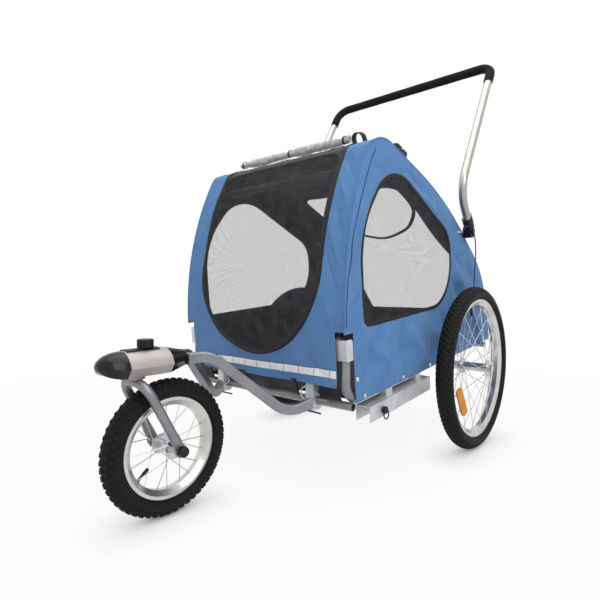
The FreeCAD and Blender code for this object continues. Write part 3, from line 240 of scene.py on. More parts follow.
def prismTape(add):
    # glass-bead tape in short sewn lengths: pale silver, faintly tinted cells, a dark line between lengths
    # and dark piping along both edges
    place = add("TexCoord").outputs["UV"]
    bead = add("TexVoronoi", {"Scale": spotScale(2.5)}, {"Vector": place})
    cloud = add("TexNoise", {"Scale": spotScale(25)}, {"Vector": place})
    cut = add("TexWave", {"Scale": bandScale(48)}, {"Vector": place}, bands_direction="X")
    line = add("MapRange", {"From Min": 0.985, "From Max": 1.0}, {"Value": cut.outputs["Fac"]})
    mixed = add("Math", {1: 0.5}, {0: bead, 2: cloud}, operation="MULTIPLY_ADD")
    pale = add("ValToRGB", links={"Fac": mixed}, stops=[(0.3, "#e0e3ec"), (0.8, "#f6f7fa")])
    cuts = add("Mix", {"B": hexColor("#a9acb8")}, {"Factor": line, "A": pale}, data_type="RGBA")
    across = add("SeparateXYZ", links={0: place}).outputs["Y"]
    off = add("Math", links={0: across}, operation="ABSOLUTE")
    piping = add("Math", {1: 9.0 * mm}, {0: off}, operation="GREATER_THAN")
    tint = add("Mix", {"B": hexColor("#1d2738")}, {"Factor": piping, "A": cuts.outputs["Result"]},
               data_type="RGBA")
    return add("BsdfPrincipled", {"Roughness": 0.35, "Metallic": 0.1},
               {"Base Color": tint.outputs["Result"]})


finish = {
    "blue": newMaterial("coatedPolyesterBlue", wovenCloth, "#6693c8", "#527db0", 0.06, 0.7, 0.25),
    # the seam line's dark blue is painted shade in its groove
    "seam": newMaterial("seamThreadBlue", wovenCloth, "#2f4f7d", "#27436c", 0.0, 0.8, 0.25),
    # near-black cloth for the inner side of the cabin's walls, front and roof
    "lining": newMaterial("coatedPolyesterLining", wovenCloth, "#2b2b2f", "#1c1c1f", 0.1, 0.7, 0.25),
    "sleeve": newMaterial("hoopSleeveCloth", wovenCloth, "#232326", "#161618", 0.1, 0.7, 0.25, coord="Object"),
    "channel": newMaterial("hoopChannelBlue", wovenCloth, "#6693c8", "#527db0", 0.06, 0.7, 0.25, coord="Object"),
    "tapeBlack": newMaterial("polyesterTapeBlack", webbing, "#101012", "#1a1a1c", 4.2),
    # the zip's pale grey coil is a painted sheen
    "zip": newMaterial("coilZipBlack", webbing, "#101012", "#1a1a1c", 6.2, coil=1.7),
    "skirt": newMaterial("coatedPolyesterBlack", wovenCloth, "#1f1e22", "#121114", 0.05, 0.45, 0.2),
    # the black net's grey is painted sheen of its lit yarns
    "net": newMaterial("knittedNetBlack", netting, "#48484c", "#6c6c70", 2.4, 0.945),
    "silver": newMaterial("powderCoatSilver", metal, "#909195", "#7f8083", 0.38, 0.6, metallic=0.75, bump=0.05),
    "aluminium": newMaterial("satinAluminium", metal, "#b4b1ab", "#a4a19b", 0.32, 0.8, stretch=(1, 1, 0.1)),
    "galvanised": newMaterial("galvanisedSteel", metal, "#dedfe2", "#c4c5c9", 0.45, 1.5, metallic=0.5),
    "zinc": newMaterial("brightZincSteel", metal, "#cfd0d2", "#b5b6b8", 0.22, 0.8),
    "rim": newMaterial("polishedRimAlloy", metal, "#d2d0cc", "#bdbab6", 0.24, 0.9),
    "champagne": newMaterial("champagnePaintedAlloy", metal, "#b5aea8", "#a9a29c", 0.42, 0.5, metallic=0.45, bump=0.04),
    "plastic": newMaterial("blackNylon", moulded, "#101012", "#1b1b1d", 0.42, 0.8, specular=0.3),
    "capPlastic": newMaterial("blackSatinAbs", moulded, "#0c0c0e", "#141416", 0.2, 0.5, bump=0.04, specular=0.3),
    "rubber": newMaterial("tyreRubber", moulded, "#0c0c0e", "#161618", 0.66, 0.9, bump=0.3, specular=0.22),
    "foam": newMaterial("nitrileFoam", moulded, "#1a1817", "#272524", 0.9, 0.7, bump=0.5, specular=0.15),
    "board": newMaterial("blackFloorBoard", moulded, "#1b1b1d", "#29292b", 0.6, 1.2),
    "amber": newMaterial("amberAcrylic", moulded, "#d9820c", "#e8951d", 0.25, 1.5, specular=0.3),
    "whiteWire": newMaterial("whiteVinylWire", moulded, "#d9d9d7", "#e8e8e6", 0.4, 0.8),
    "cord": newMaterial("blackBraidedCord", moulded, "#151516", "#232325", 0.75, 0.6, bump=0.5),
    "film": newMaterial("clearRolledFilm", softFilm),
    "tape": newMaterial("beadedReflectiveTape", prismTape),
}
print("materials", len(finish))

# mesh tools

weldReach = 0.01 * mm
outlineStep = 1.5


def gridPiece(name, points, uv, wrapRows=False, wrapCols=False, looks=("blue",), about=None):
    # quads between neighbouring rows and columns of a point grid, turned to face away from about;
    # a wrapped side joins its last line to its first
    rows, cols = points.shape[:2]
    r, c = np.meshgrid(np.arange(rows if wrapRows else rows - 1), np.arange(cols if wrapCols else cols - 1),
                       indexing="ij")
    rNext, cNext = (r + 1) % rows, (c + 1) % cols
    quads = np.stack([r * cols + c, r * cols + cNext, rNext * cols + cNext, rNext * cols + c], -1).reshape(-1, 4)
    corner = np.stack([uv[r, c], uv[r, c + 1], uv[r + 1, c + 1], uv[r + 1, c]], -2).reshape(-1, 4, 2)
    flat = points.reshape(-1, 3)
    centre = flat.mean(0) if about is None else np.asarray(about)
    a, b, d = flat[quads[:, 0]], flat[quads[:, 2]], flat[quads[:, 3]] - flat[quads[:, 1]]
    if (np.cross(b - a, d) * ((a + b) / 2 - centre)).sum() < 0:
        quads, corner = quads[:, ::-1], corner[:, ::-1]
    mesh = bpy.data.meshes.new(name)
    mesh.vertices.add(len(flat))
    mesh.vertices.foreach_set("co", flat.ravel())
    mesh.loops.add(quads.size)
    mesh.loops.foreach_set("vertex_index", np.ascontiguousarray(quads).ravel())
    mesh.polygons.add(len(quads))
    mesh.polygons.foreach_set("loop_start", np.arange(len(quads)) * 4)
    mesh.polygons.foreach_set("use_smooth", np.ones(len(quads), bool))
    layer = mesh.uv_layers.new(name="cloth")
    layer.data.foreach_set("uv", np.ascontiguousarray(corner).ravel())
    mesh.update(calc_edges=True)
    piece = bpy.data.objects.new(name, mesh)
    scene.collection.objects.link(piece)
    for look in looks:
        mesh.materials.append(finish[look])
    return piece


def weld(piece):
    # poles and folded edges become single points
    form = bmesh.new()
    form.from_mesh(piece.data)
    bmesh.ops.remove_doubles(form, verts=form.verts, dist=weldReach)
    form.to_mesh(piece.data)
    form.free()
    return piece


def joinPieces(name, pieces):
    # several meshes into the first one, with the first one's materials
    form = bmesh.new()
    for piece in pieces:
        form.from_mesh(piece.data)
    form.to_mesh(pieces[0].data)
    form.free()
    for piece in pieces[1:]:
        bpy.data.objects.remove(piece)
    pieces[0].name = name
    return pieces[0]


def joinFinished(name, pieces):
    # thickness is applied piece by piece before they become one mesh
    graph = bpy.context.evaluated_depsgraph_get()
    for piece in pieces:
        solid = bpy.data.meshes.new_from_object(piece.evaluated_get(graph))
        piece.modifiers.clear()
        piece.data = solid
    return joinPieces(name, pieces)


def thicken(piece, thickness, inward=-1.0, lined=False):
    # a wall of even thickness in mm, whose inner side may take the next material
    solid = piece.modifiers.new("thickness", "SOLIDIFY")
    solid.thickness = thickness * mm
    solid.offset = inward
    solid.use_even_offset = True
    if lined:
        solid.material_offset = 1
    return piece


def readMesh(items, key):
    # one vector for each vertex or face of a mesh
    values = np.empty(len(items) * 3)
    items.foreach_get(key, values)
    return values.reshape(-1, 3)


def unit(vector):
    # the same direction with length 1
    vector = np.asarray(vector, float)
    return vector / np.linalg.norm(vector, axis=-1, keepdims=True)


def lengthAlong(line):
    # the distance run from the start at each point of a line
    return np.concatenate([[0], np.cumsum(np.linalg.norm(np.diff(line, axis=0), axis=1))])


def heading(line, closed=False):
    # the direction from each point's neighbour behind to its neighbour ahead
    return unit(np.roll(line, -1, 0) - np.roll(line, 1, 0) if closed else np.gradient(line, axis=0))


def rightOf(direction):
    # a flat direction turned a quarter turn clockwise
    return np.stack([direction[:, 1], -direction[:, 0]], -1)


def evenly(line, step):
    # the same line with a point at every step of its length
    run = lengthAlong(line)
    places = np.linspace(0, run[-1], max(2, int(run[-1] / step) + 1))
    return np.stack([np.interp(places, run, line[:, k]) for k in range(line.shape[1])], -1)


def roundedOutline(corners, closed=False, step=outlineStep):
    # straight runs joined by tangent arcs: an arc turns about the point one rounding to the side of its start
    points = np.array([corner[:2] for corner in corners], float)
    line = []
    for i, corner in enumerate(corners):
        radius = corner[2]
        if radius <= 0 or (not closed and i in (0, len(corners) - 1)):
            line.append(points[i][None])
            continue
        back = unit(points[i] - points[i - 1])
        ahead = unit(points[(i + 1) % len(points)] - points[i])
        turn = math.atan2(back[0] * ahead[1] - back[1] * ahead[0], back @ ahead)
        start = points[i] - back * radius * math.tan(abs(turn) / 2)
        spin = np.linspace(0, turn, max(4, int(radius * abs(turn) / step)))
        arm = np.array([back[1], -back[0]]) * radius * np.sign(turn)
        swung = np.stack([arm[0] * np.cos(spin) - arm[1] * np.sin(spin),
                          arm[0] * np.sin(spin) + arm[1] * np.cos(spin)], -1)
        line.append(start - arm + swung)
    if closed:
        line.append(line[0][:1])
    return evenly(np.concatenate(line), step)


def ringBetween(inner, outer, centre, rings, count, sharp=()):
    # both outlines as a reach for each angle about the centre, blended in equal shares from inner to outer
    def reaches(line):
        arm = line - centre
        turn = np.arctan2(arm[:, 1], arm[:, 0])
        order = np.argsort(turn)
        return turn[order], np.hypot(arm[:, 0], arm[:, 1])[order]
    turns = np.linspace(-math.pi, math.pi, count, endpoint=False)
    if len(sharp):
        arm = np.asarray(sharp, float) - centre
        turns = np.unique(np.concatenate([turns, np.arctan2(arm[:, 1], arm[:, 0])]))
    near = np.interp(turns, *reaches(inner), period=fullTurn) if inner is not None else np.zeros(len(turns))
    far = np.interp(turns, *reaches(outer), period=fullTurn)
    share = np.linspace(0, 1, rings)[:, None]
    reach = near + (far - near) * share
    plan = np.stack([centre[0] + reach * np.cos(turns), centre[1] + reach * np.sin(turns)], -1)
    return plan, share * np.ones(len(turns))


def gridOf(first, second):
    # two sets of values spread over one grid
    return np.stack(np.broadcast_arrays(first, second), -1)


def sweep(name, line, across, looks, closed=False, guide=(0.0, 1.0, 0.0)):
    # a closed profile carried along a line: its axes are the side, square to the line and the guide, and the up left
    ahead = heading(line, closed)
    side = unit(np.cross(ahead, guide))
    up = np.cross(side, ahead)
    points = line[:, None] + side[:, None] * across[..., 0, None] + up[:, None] * across[..., 1, None]
    run = lengthAlong(line)
    turn = np.linspace(0, 1, across.shape[-2] + 1)
    if closed:
        run = np.append(run, run[-1] + np.linalg.norm(line[0] - line[-1]))
    uv = gridOf(run[:, None], turn[None] * 0.02)
    return gridPiece(name, points, uv, closed, True, looks)


def circle(radius, count):
    # the cosine and sine of equal turns, times the radius
    turn = np.linspace(0, fullTurn, count, endpoint=False)
    return np.stack([np.cos(turn), np.sin(turn)], -1) * radius


def quadArea(points, wrapCols=False):
    # half the cross product of each quad's diagonals, summed
    if wrapCols:
        points = np.concatenate([points, points[:, :1]], 1)
    across, down = points[1:, 1:] - points[:-1, :-1], points[1:, :-1] - points[:-1, 1:]
    return float(np.linalg.norm(np.cross(across, down), axis=-1).sum() / 2)


def fade(away, over):
    # 0 at an edge, rising to 1 at the distance over
    return np.clip(away / over, 0, 1)


def sewn(piece, nodes=(), body="chassis"):
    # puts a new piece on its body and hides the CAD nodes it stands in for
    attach(piece, body)
    if nodes:
        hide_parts(*nodes)
    return piece


# lanyard: a limp cord from the left knuckle's bolt to its knot

lanyard = {"radius": 1.75, "length": 0.209, "knotSize": 0.85, "knotCord": 1.5,
           "route": [(-84.6, 322.6, 675.4), (-95.0, 323.4, 652.0), (-95.5, 324.2, 616.0), (-89.5, 325.0, 578.0),
                     (-80.0, 325.6, 538.0), (-75.0, 326.0, 502.0), (-76.0, 326.0, 470.0)]}


def hangLanyard():
    # a smooth curve by its route, with an overhand knot: a tube round a trefoil, pulled tight
    route = onFloor(lanyard["route"])
    data = bpy.data.curves.new("lanyard", "CURVE")
    data.dimensions = "3D"
    data.bevel_depth = lanyard["radius"] * mm
    data.bevel_resolution = 4
    data.use_fill_caps = True
    data.resolution_u = 16
    spline = data.splines.new("NURBS")
    spline.points.add(len(route) - 1)
    spline.points.foreach_set("co", np.column_stack([route, np.ones(len(route))]).ravel())
    spline.order_u = 3
    spline.use_endpoint_u = True
    data.materials.append(finish["cord"])
    cord = bpy.data.objects.new("lanyard", data)
    scene.collection.objects.link(cord)
    turn = np.linspace(0, fullTurn, 60, endpoint=False)
    lobe = np.stack([np.sin(turn) + 2 * np.sin(2 * turn), np.cos(turn) - 2 * np.cos(2 * turn), -np.sin(3 * turn)], -1)
    knot = sweep("lanyardKnot", route[-1] + lobe * lanyard["knotSize"] * mm, circle(lanyard["knotCord"] * mm, 10),
                 ("cord",), closed=True)
    sewn(cord, ["lanyard_cord"], "rear_hoop")
    sewn(knot, (), "rear_hoop")


hangLanyard()
print("lanyard hung")

# cabin cloth: the outline is given as corners along and up with their roundings, from the front hem to the back hem

cabin = {
    "outline": [(587, -5, 0), (587, 374.8, 885), (449, 601, 40), (377.5, 626, 100), (30.4, 491.7, 1095),
                (-285, 237, 320), (-322, 28, 60), (-322, -5, 0)],
    "brow": (449, 601), "seamBehindBrow": 22.0, "rollAlong": 402.0, "blackFrom": 560.0, "middle": (150.0, 0.0, 250.0),
    "half": 289.0, "cloth": 1.6, "swell": 2.0, "swellHigh": 640, "swellFrom": -330, "swellOver": 500, "foldKeep": 0.45,
}
(nose, hem), tail = cabin["outline"][0][:2], cabin["outline"][-1][0]
shell = roundedOutline(cabin["outline"])
shellRun = lengthAlong(shell)
shellOut = unit(rightOf(np.gradient(shell, axis=0)))
browAt = int(np.argmin(np.hypot(shell[:, 0] - cabin["brow"][0], shell[:, 1] - cabin["brow"][1])))
seamRun = shellRun[browAt] + cabin["seamBehindBrow"]
cabinMiddle = onBody(*cabin["middle"])


def runAtRise(rise):
    # how far round the outline a height on the front is
    return np.interp(rise, shell[:browAt, 1], shellRun[:browAt])


def runAtAlong(along):
    # how far round the outline a place on the roof or back is
    return np.interp(-np.asarray(along, float), -shell[browAt:, 0], shellRun[browAt:])


rollRun = float(runAtAlong(cabin["rollAlong"]))


def halfAt(along, rise):
    # the cabin swells a little between its hem and its roof, most at half height
    swell = np.sin(fade(rise - hem, cabin["swellHigh"]) * math.pi)
    return cabin["half"] + cabin["swell"] * (swell * fade(along - cabin["swellFrom"], cabin["swellOver"]))


def onShell(side, run, out):
    # a place across and along the outline, lifted off it by out
    along, rise = (np.interp(run, shellRun, shell[:, k]) for k in (0, 1))
    side = side * halfAt(along, rise) / cabin["half"]
    along = along + out * np.interp(run, shellRun, shellOut[:, 0])
    rise = rise + out * np.interp(run, shellRun, shellOut[:, 1])
    return onBody(along, side, rise)


def onWall(sign):
    # the same for a side wall: a place along and up, lifted outwards
    def place(along, rise, out):
        return onBody(along, sign * (halfAt(along, rise) + out), rise)
    return place


def crease(plan, start, end, width, depth):
    # a fold along a line: a bell across the line, fading at both ends
    start, end = np.asarray(start, float), np.asarray(end, float)
    run = end - start
    along = ((plan - start) @ run) / (run @ run)
    away = np.abs((plan - start) @ np.array([-run[1], run[0]])) / np.linalg.norm(run)
    return depth * np.exp(-(away / width) ** 2) * np.sin(np.clip(along, 0, 1) * math.pi)


def ripples(plan, size, depth, seed):
    # slow uneven waves: six sines of random direction and phase
    draw = np.random.default_rng(seed)
    angle, phase, scale = draw.uniform(0, math.pi, 6), draw.uniform(0, fullTurn, 6), draw.uniform(0.7, 1.6, 6)
    total = sum(np.sin((plan[..., 0] * math.cos(a) + plan[..., 1] * math.sin(a)) / size * s * 2 * math.pi + p)
                for a, p, s in zip(angle, phase, scale))
    return depth * total / 3


def crumples(*pieces):
    # each piece takes a mesh of its own
    for piece in pieces:
        tuple(onBody(0.0, 0.0, 0.0))
        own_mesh(piece)


def stretchCloth(name, plan, surface, out, looks):
    # a panel between its opening and its edge, with the opening's plan as its UV map in metres
    points = surface(plan[..., 0], plan[..., 1], out)
    uv = np.concatenate([plan, plan[:, :1]], 1) * mm
    return gridPiece(name, points, uv, wrapCols=True, looks=looks, about=cabinMiddle), quadArea(points, True)


def stretchNet(name, node, hole, centre, size, surface, relief, flat, holder, **carried):
    # a sheet of net from a pole in the middle of an opening to its edge
    plan, share = ringBetween(None, hole, centre, *size)
    net, area = stretchCloth(name, plan, surface, relief(plan, np.sin(share * math.pi)), ("net",))
    sewn(weld(net), [node])
    return net


def ribbon(name, path, width, surface, lift, looks, closed=False, cols=9):
    # a tape along a line on the cloth: the line moved sideways by each share of the width, lifted by its profile
    share = np.linspace(-1, 1, cols)
    plan = path[:, None] + rightOf(heading(path, closed))[:, None] * (share * width / 2)[None, :, None]
    points = surface(plan[..., 0], plan[..., 1], lift(share) + 0 * plan[..., 0])
    run = lengthAlong(path)
    if closed:
        run = np.append(run, run[-1] + np.linalg.norm(path[0] - path[-1]))
    uv = gridOf(run[:, None], (share * width / 2)[None]) * mm
    return gridPiece(name, points, uv, wrapRows=closed, looks=looks, about=cabinMiddle)


def flatTape(thick):
    # nearly flat, with rounded edges that come down to the cloth
    return lambda share: 0.2 + thick * (1 - share ** 6)


# side walls: folds are given by their two ends, width and depth

window = {"corners": [(509, 168, 20), (509, 393, 250), (353, 572, 140), (5, 383, 90), (5, 168, 140)],
          "over": 5.0, "tape": 11.5, "thick": 1.4, "middle": (257.0, 340.0), "netGrid": (24, 200),
          "netIn": 0.8, "netWaves": (150, 1.2, 21)}
wall = {"slit": (554.0, 160.0), "rings": 44, "count": 420, "fill": 4.0, "round": 0.7,
        "snaps": [(545, 50), (517, 4), (330, 4), (172, 4)], "snapRadius": 6.2, "snapHigh": 3.5, "welt": 2.0,
        "seamWide": 3.0, "seam": [(175, 5), (281, 7), (370, 11), (459, 17), (530, 24), (588, 32)],
        "lowFrom": 230, "lowOver": 160, "waves": (210, 2.4), "waveSeeds": {1: 11, -1: 12}, "ripple": (70, 0.9, 13),
        "foldWide": 1.4, "foldDeep": 2.2,
        "folds": [((430, 175), (520, 10), 16, -7), ((400, 168), (470, 5), 12, 6), ((235, 165), (70, 10), 20, 8),
                  ((330, 165), (300, 0), 16, -7), ((120, 170), (-40, 30), 14, -8), ((180, 150), (150, -5), 12, -6),
                  ((290, 140), (210, 20), 13, 6), ((490, 150), (390, 10), 12, 6), ((520, 120), (555, 20), 10, -4),
                  ((10, 340), (-120, 120), 18, 6), ((10, 250), (-200, 60), 16, -8), ((60, 390), (-90, 250), 12, -5),
                  ((-60, 150), (-250, 40), 18, 7), ((-100, 300), (-250, 180), 14, -6), ((500, 430), (560, 250), 10, -4),
                  ((430, 540), (540, 330), 8, 3), ((520, 380), (570, 290), 8, 3), ((515, 250), (580, 190), 9, -3),
                  ((300, 560), (120, 480), 10, -3), ((200, 500), (60, 420), 9, 3)]}
windowLine = roundedOutline(window["corners"], True)[:-1]
slitAlong, slitRise = wall["slit"]
wallFront = shell[shellRun >= runAtRise(slitRise)]
wallFoot = np.array([(tail, hem), (slitAlong, hem), (slitAlong, slitRise), (nose, slitRise)], float)
wallEdge = evenly(np.concatenate([wallFront, wallFoot]), outlineStep)


def awayFrom(line, plan):
    # distance from each place to the nearest point of a line
    flat = plan.reshape(-1, 2)
    apart = np.hypot(flat[:, :1] - line[None, :, 0], flat[:, 1:] - line[None, :, 1])
    return np.min(apart, 1).reshape(plan.shape[:-1])


def wallOut(along, rise, sign):
    # the wall stands out a little between its edges, with soft folds below, behind and ahead of the window
    plan = gridOf(along, rise).astype(float)
    inner, outer = awayFrom(windowLine[::4], plan), awayFrom(wallEdge[::4], plan)
    share = inner / (inner + outer + 1e-6)
    low = fade(wall["lowFrom"] - plan[..., 1], wall["lowOver"])
    folds = sum(crease(plan, start, end, wall["foldWide"] * width, wall["foldDeep"] * depth)
                for start, end, width, depth in wall["folds"])
    waves = ripples(plan, *wall["waves"], wall["waveSeeds"][sign]) * (0.4 + low) + ripples(plan, *wall["ripple"])
    return (wall["fill"] + folds + waves) * np.sin(share * math.pi) ** wall["round"]


def dome(name, place, out, radius, high):
    # a shallow button: rings that shrink as the height follows a quarter ellipse
    out = unit(out)
    right = unit(np.cross(out, (0.3, 0.2, 1)))
    up = np.cross(out, right)
    swing = np.linspace(0, math.pi / 2, 6)[:, None]
    turn = np.linspace(0, fullTurn, 16, endpoint=False)[None]
    spread = (np.cos(swing) * radius * mm)[..., None]
    points = (np.asarray(place) + spread * (np.cos(turn)[..., None] * right + np.sin(turn)[..., None] * up)
              + (np.sin(swing) * high * mm)[..., None] * out)
    uv = np.zeros((6, 17, 2))
    return weld(gridPiece(name, points, uv, wrapCols=True, looks=("zinc",), about=np.asarray(place) - out * 0.01))


def makeWall(sideName, sign):
    # cloth from the window to the wall's edge, then what is sewn on it, then the net
    surface = onWall(sign)

    def onRelief(along, rise, out):
        return surface(along, rise, out + wallOut(along, rise, sign))

    def netOut(plan, slack):
        return -window["netIn"] + ripples(plan, *window["netWaves"]) * slack
    centre = np.array(window["middle"])
    plan, _ = ringBetween(windowLine, wallEdge, centre, wall["rings"], wall["count"],
                          np.concatenate([wallFoot, wallFront[-1:]]))
    piece, area = stretchCloth(sideName + "WallCloth", plan, surface, wallOut(plan[..., 0], plan[..., 1], sign),
                               ("blue", "lining"))
    thicken(piece, cabin["cloth"], lined=True)
    sewn(piece, ["cabin_" + sideName + "_wall"])
    # bound edge round the window
    line = windowLine + rightOf(heading(windowLine, True)) * (window["over"] - window["tape"] / 2)
    tape = ribbon(sideName + "WindowTape", line, window["tape"], surface, flatTape(window["thick"]), ("tapeBlack",),
                  closed=True)
    sewn(thicken(tape, 1.0), ["window_bindings"])
    # welt along the seam between the wall and the front and roof
    line = wallFront[::3]
    welt = sweep(sideName + "SeamWelt", surface(line[:, 0], line[:, 1], 0.0), circle(wall["welt"] * mm, 8), ("blue",))
    sewn(welt)
    # sewn line behind the front edge, drawn dark blue: painted shade of the seam's groove
    rise = np.linspace(wall["seam"][0][0], wall["seam"][-1][0], 120)
    inset = np.interp(rise, *np.array(wall["seam"], float).T)
    line = np.stack([np.interp(rise, shell[:browAt, 1], shell[:browAt, 0]) - inset, rise], -1)
    seam = ribbon(sideName + "WallSeam", line, wall["seamWide"], onRelief, flatTape(0.5), ("seam",), cols=5)
    sewn(thicken(seam, 0.8))
    # press studs along the hem
    studs = [dome(sideName + "Stud", surface(np.array(a), np.array(r), 1.0), (0, sign, 0), wall["snapRadius"],
                  wall["snapHigh"]) for a, r in wall["snaps"]]
    studs = sewn(joinPieces(sideName + "HemStuds", studs))
    net = stretchNet(sideName + "WindowNet", sideName + "_window_mesh", windowLine, centre, window["netGrid"], surface,
                     netOut, (0.506, 0.408), piece)
    crumples(piece, tape, welt, seam, studs, net)


makeWall("left", 1)
makeWall("right", -1)
print("walls sewn")

# front: the panel round the door, its zip, reflective strip, net and skirt

panel = {"slitHalf": 262.0, "slitRise": 165.0, "hem": 36.0, "rings": 36, "count": 460, "middle": 345.0, "bow": 6.0,
         "edgeFade": 45, "seamFade": 60, "bowRise": 90, "bowFade": 120, "waves": (190, 2.2, 31),
         "hemWave": 2.5, "hemWaveLong": 31, "hemWaveTop": 62.0, "hemWaveFade": 25,
         "folds": [((225, 560), (286, 430), 7, 3.5), ((226, 500), (284, 350), 7, -3), ((224, 430), (282, 290), 6, 3),
                   ((224, 360), (280, 230), 6, -3), ((222, 610), (285, 520), 6, -2.5), ((235, 250), (270, 110), 8, 3),
                   ((-250, 520), (-262, 300), 8, 4), ((-235, 420), (-250, 200), 7, -4),
                   ((-228, 600), (-280, 470), 7, 3), ((-265, 330), (-240, 120), 8, 4), ((-180, 110), (-240, 60), 10, 4),
                   ((170, 105), (245, 55), 10, -4), ((-90, 90), (-150, 50), 9, -4), ((60, 88), (120, 48), 9, 4)]}
door = {"half": 221.0, "wide": 216.0, "top": 590.0, "wideRise": 300.0, "bottom": 99.0, "corner": 40.0,
        "tape": 16.0, "over": 6.0, "tapeThick": 1.2, "coilHigh": 1.2, "coilWide": 0.16, "netGrid": (30, 220),
        "netIn": 0.6, "netWaves": (160, 1.0, 41)}
strip = {"low": 56.0, "high": 77.0, "half": 261.0, "thick": 0.9, "count": 140}
skirt = {"half": 262, "notchMiddle": 168.0, "notchHalf": 34.0, "top": 585.5, "lean": -12.0, "high": 42.0, "step": 5}


def frontOut(side, run):
    # the front bows out across its width, with shallow waves that die at its edges
    edge = fade(cabin["half"] - np.abs(side), panel["edgeFade"]) * fade(seamRun - run, panel["seamFade"])
    plan = gridOf(side, run)
    bow = (panel["bow"] * (1 - (side / cabin["half"]) ** 2) * fade(run - runAtRise(panel["hem"]), panel["bowRise"])
           * fade(seamRun - run, panel["bowFade"]))
    folds = sum(crease(plan, *fold) for fold in panel["folds"])
    return bow + (ripples(plan, *panel["waves"]) + folds) * edge


def onFront(side, run, out):
    # the outline's place, lifted by the front's own bow and folds as well
    return onShell(side, run, out + frontOut(side, run))


def doorOutline(grow):
    # straight sides leaning to the top corners, and a sill that is one arc through three points
    half, wide, top, low = door["half"] + grow, door["wide"] + grow, door["top"] + grow, door["bottom"] - grow
    drop = door["wideRise"] - low
    radius = (wide ** 2 + drop ** 2) / (2 * drop)
    reach = math.asin(wide / radius) if drop < radius else math.pi - math.asin(wide / radius)
    turn = np.linspace(reach, -reach, 160)
    sill = np.stack([radius * np.sin(turn), low + radius - radius * np.cos(turn)], -1)
    head = roundedOutline([(-wide, door["wideRise"], 0), (-half, top, door["corner"] + grow),
                           (half, top, door["corner"] + grow), (wide, door["wideRise"], 0)])
    line = evenly(np.concatenate([head, sill[1:]]), outlineStep)
    return [np.stack([each[:, 0], runAtRise(each[:, 1])], -1) for each in (line, sill)]


def paintBrow(piece, lastRun):
    # faces between the zips, over the door and ahead of lastRun take the black cloth, the panel's third look
    centre = readMesh(piece.data.polygons, "center") / mm
    x, z = centre[:, 0] - stance["slide"], centre[:, 2] - stance["lift"]
    high = x * pitchSin + z * pitchCos > np.interp(runAtRise(cabin["blackFrom"]), shellRun, shell[:, 1])
    ahead = x * pitchCos - z * pitchSin > np.interp(lastRun, shellRun, shell[:, 0])
    chosen = high & ahead & (np.abs(centre[:, 1]) < door["half"] + 1)
    piece.data.polygons.foreach_set("material_index", np.where(chosen, 2, 0).astype(np.int32))


def zipLift(share):
    # flat tape with its coil standing in the middle
    return 0.3 + door["tapeThick"] * (1 - share ** 6) + door["coilHigh"] * np.exp(-(share / door["coilWide"]) ** 2)


def makeSkirt():
    # three flaps under the panel, cut away round the brackets, each leaning back with folds that grow downwards
    flaps, area = [], 0.0
    near, far = skirt["notchMiddle"] - skirt["notchHalf"], skirt["notchMiddle"] + skirt["notchHalf"]
    for a, b in ((-skirt["half"], -far), (-near, near), (far, skirt["half"])):
        y, drop = np.meshgrid(np.linspace(a, b, max(12, int((b - a) / skirt["step"]))), np.linspace(0, 1, 12))
        fold = 3.0 * drop * np.sin(y / 23 + 1.2 * np.sin(y / 57)) + 1.5 * np.sin(drop * 5 + y / 60) * drop
        points = onBody(skirt["top"] + skirt["lean"] * drop + fold, y, skirt["high"] - skirt["high"] * drop)
        area += quadArea(points)
        flaps.append(gridPiece("skirtFlap", points, np.stack([y, drop * 40], -1) * mm, looks=("skirt",),
                               about=cabinMiddle))
    flap = thicken(joinPieces("frontSkirtCloth", flaps), cabin["cloth"])
    sewn(flap, ["front_skirt"])


def makeFront():
    # cloth from the door to the panel's edge, then what is sewn on it, then the net and the skirt
    hole = doorOutline(0.0)[0][:-1]
    low, slit, half = runAtRise(panel["hem"]), runAtRise(panel["slitRise"]), cabin["half"]
    inner = panel["slitHalf"]
    sharp = np.array([(-inner, low), (inner, low), (inner, slit), (half, slit), (half, seamRun), (-half, seamRun),
                      (-half, slit), (-inner, slit)])
    outer = evenly(np.concatenate([sharp, sharp[:1]]), outlineStep)
    centre = np.array([0.0, runAtRise(panel["middle"])])
    plan, _ = ringBetween(hole, outer, centre, panel["rings"], panel["count"], sharp)
    hemWave = (panel["hemWave"] * np.sin(plan[..., 0] / panel["hemWaveLong"])
               * fade(runAtRise(panel["hemWaveTop"]) - plan[..., 1], panel["hemWaveFade"]))
    piece, area = stretchCloth("frontPanelCloth", plan, onFront, hemWave, ("blue", "lining", "skirt", "lining"))
    paintBrow(piece, shellRun[-1])
    thicken(piece, cabin["cloth"], lined=True)
    sewn(piece, ["cabin_front_panel"])
    # zip: down one side from the roll, round the sill and up the other side
    middle = door["over"] - door["tape"] / 2
    edge = door["half"] + middle
    side = [(edge + 3, rollRun - 6), (edge + 1, seamRun), (edge, runAtRise(door["top"] - 8))]
    path = evenly(np.concatenate([side, doorOutline(middle)[1], [(-y, s) for y, s in side[::-1]]]), 4.0)
    tape = ribbon("frontDoorZip", path, door["tape"], onFront, zipLift, ("zip",), cols=17)
    sewn(thicken(tape, 1.0), ["front_door_binding"])
    # reflective strip across the foot of the panel
    level = np.full(strip["count"], runAtRise((strip["low"] + strip["high"]) / 2))
    path = np.stack([np.linspace(-strip["half"], strip["half"], strip["count"]), level], -1)
    shine = ribbon("reflectiveStrip", path, strip["high"] - strip["low"], onFront, flatTape(strip["thick"]), ("tape",))
    sewn(thicken(shine, 0.8), ["reflective_strip"])

    def netOut(plan, slack):
        return ripples(plan, *door["netWaves"]) * slack - door["netIn"]
    net = stretchNet("frontDoorNet", "front_door_mesh", hole, centre, door["netGrid"], onFront, netOut,
                     (0.444, 0.520), piece)
    makeSkirt()
    crumples(piece, tape, shine, net)


makeFront()
print("front sewn")

# roof and back in one piece, with the rear window; sag is the band across the window, along and across

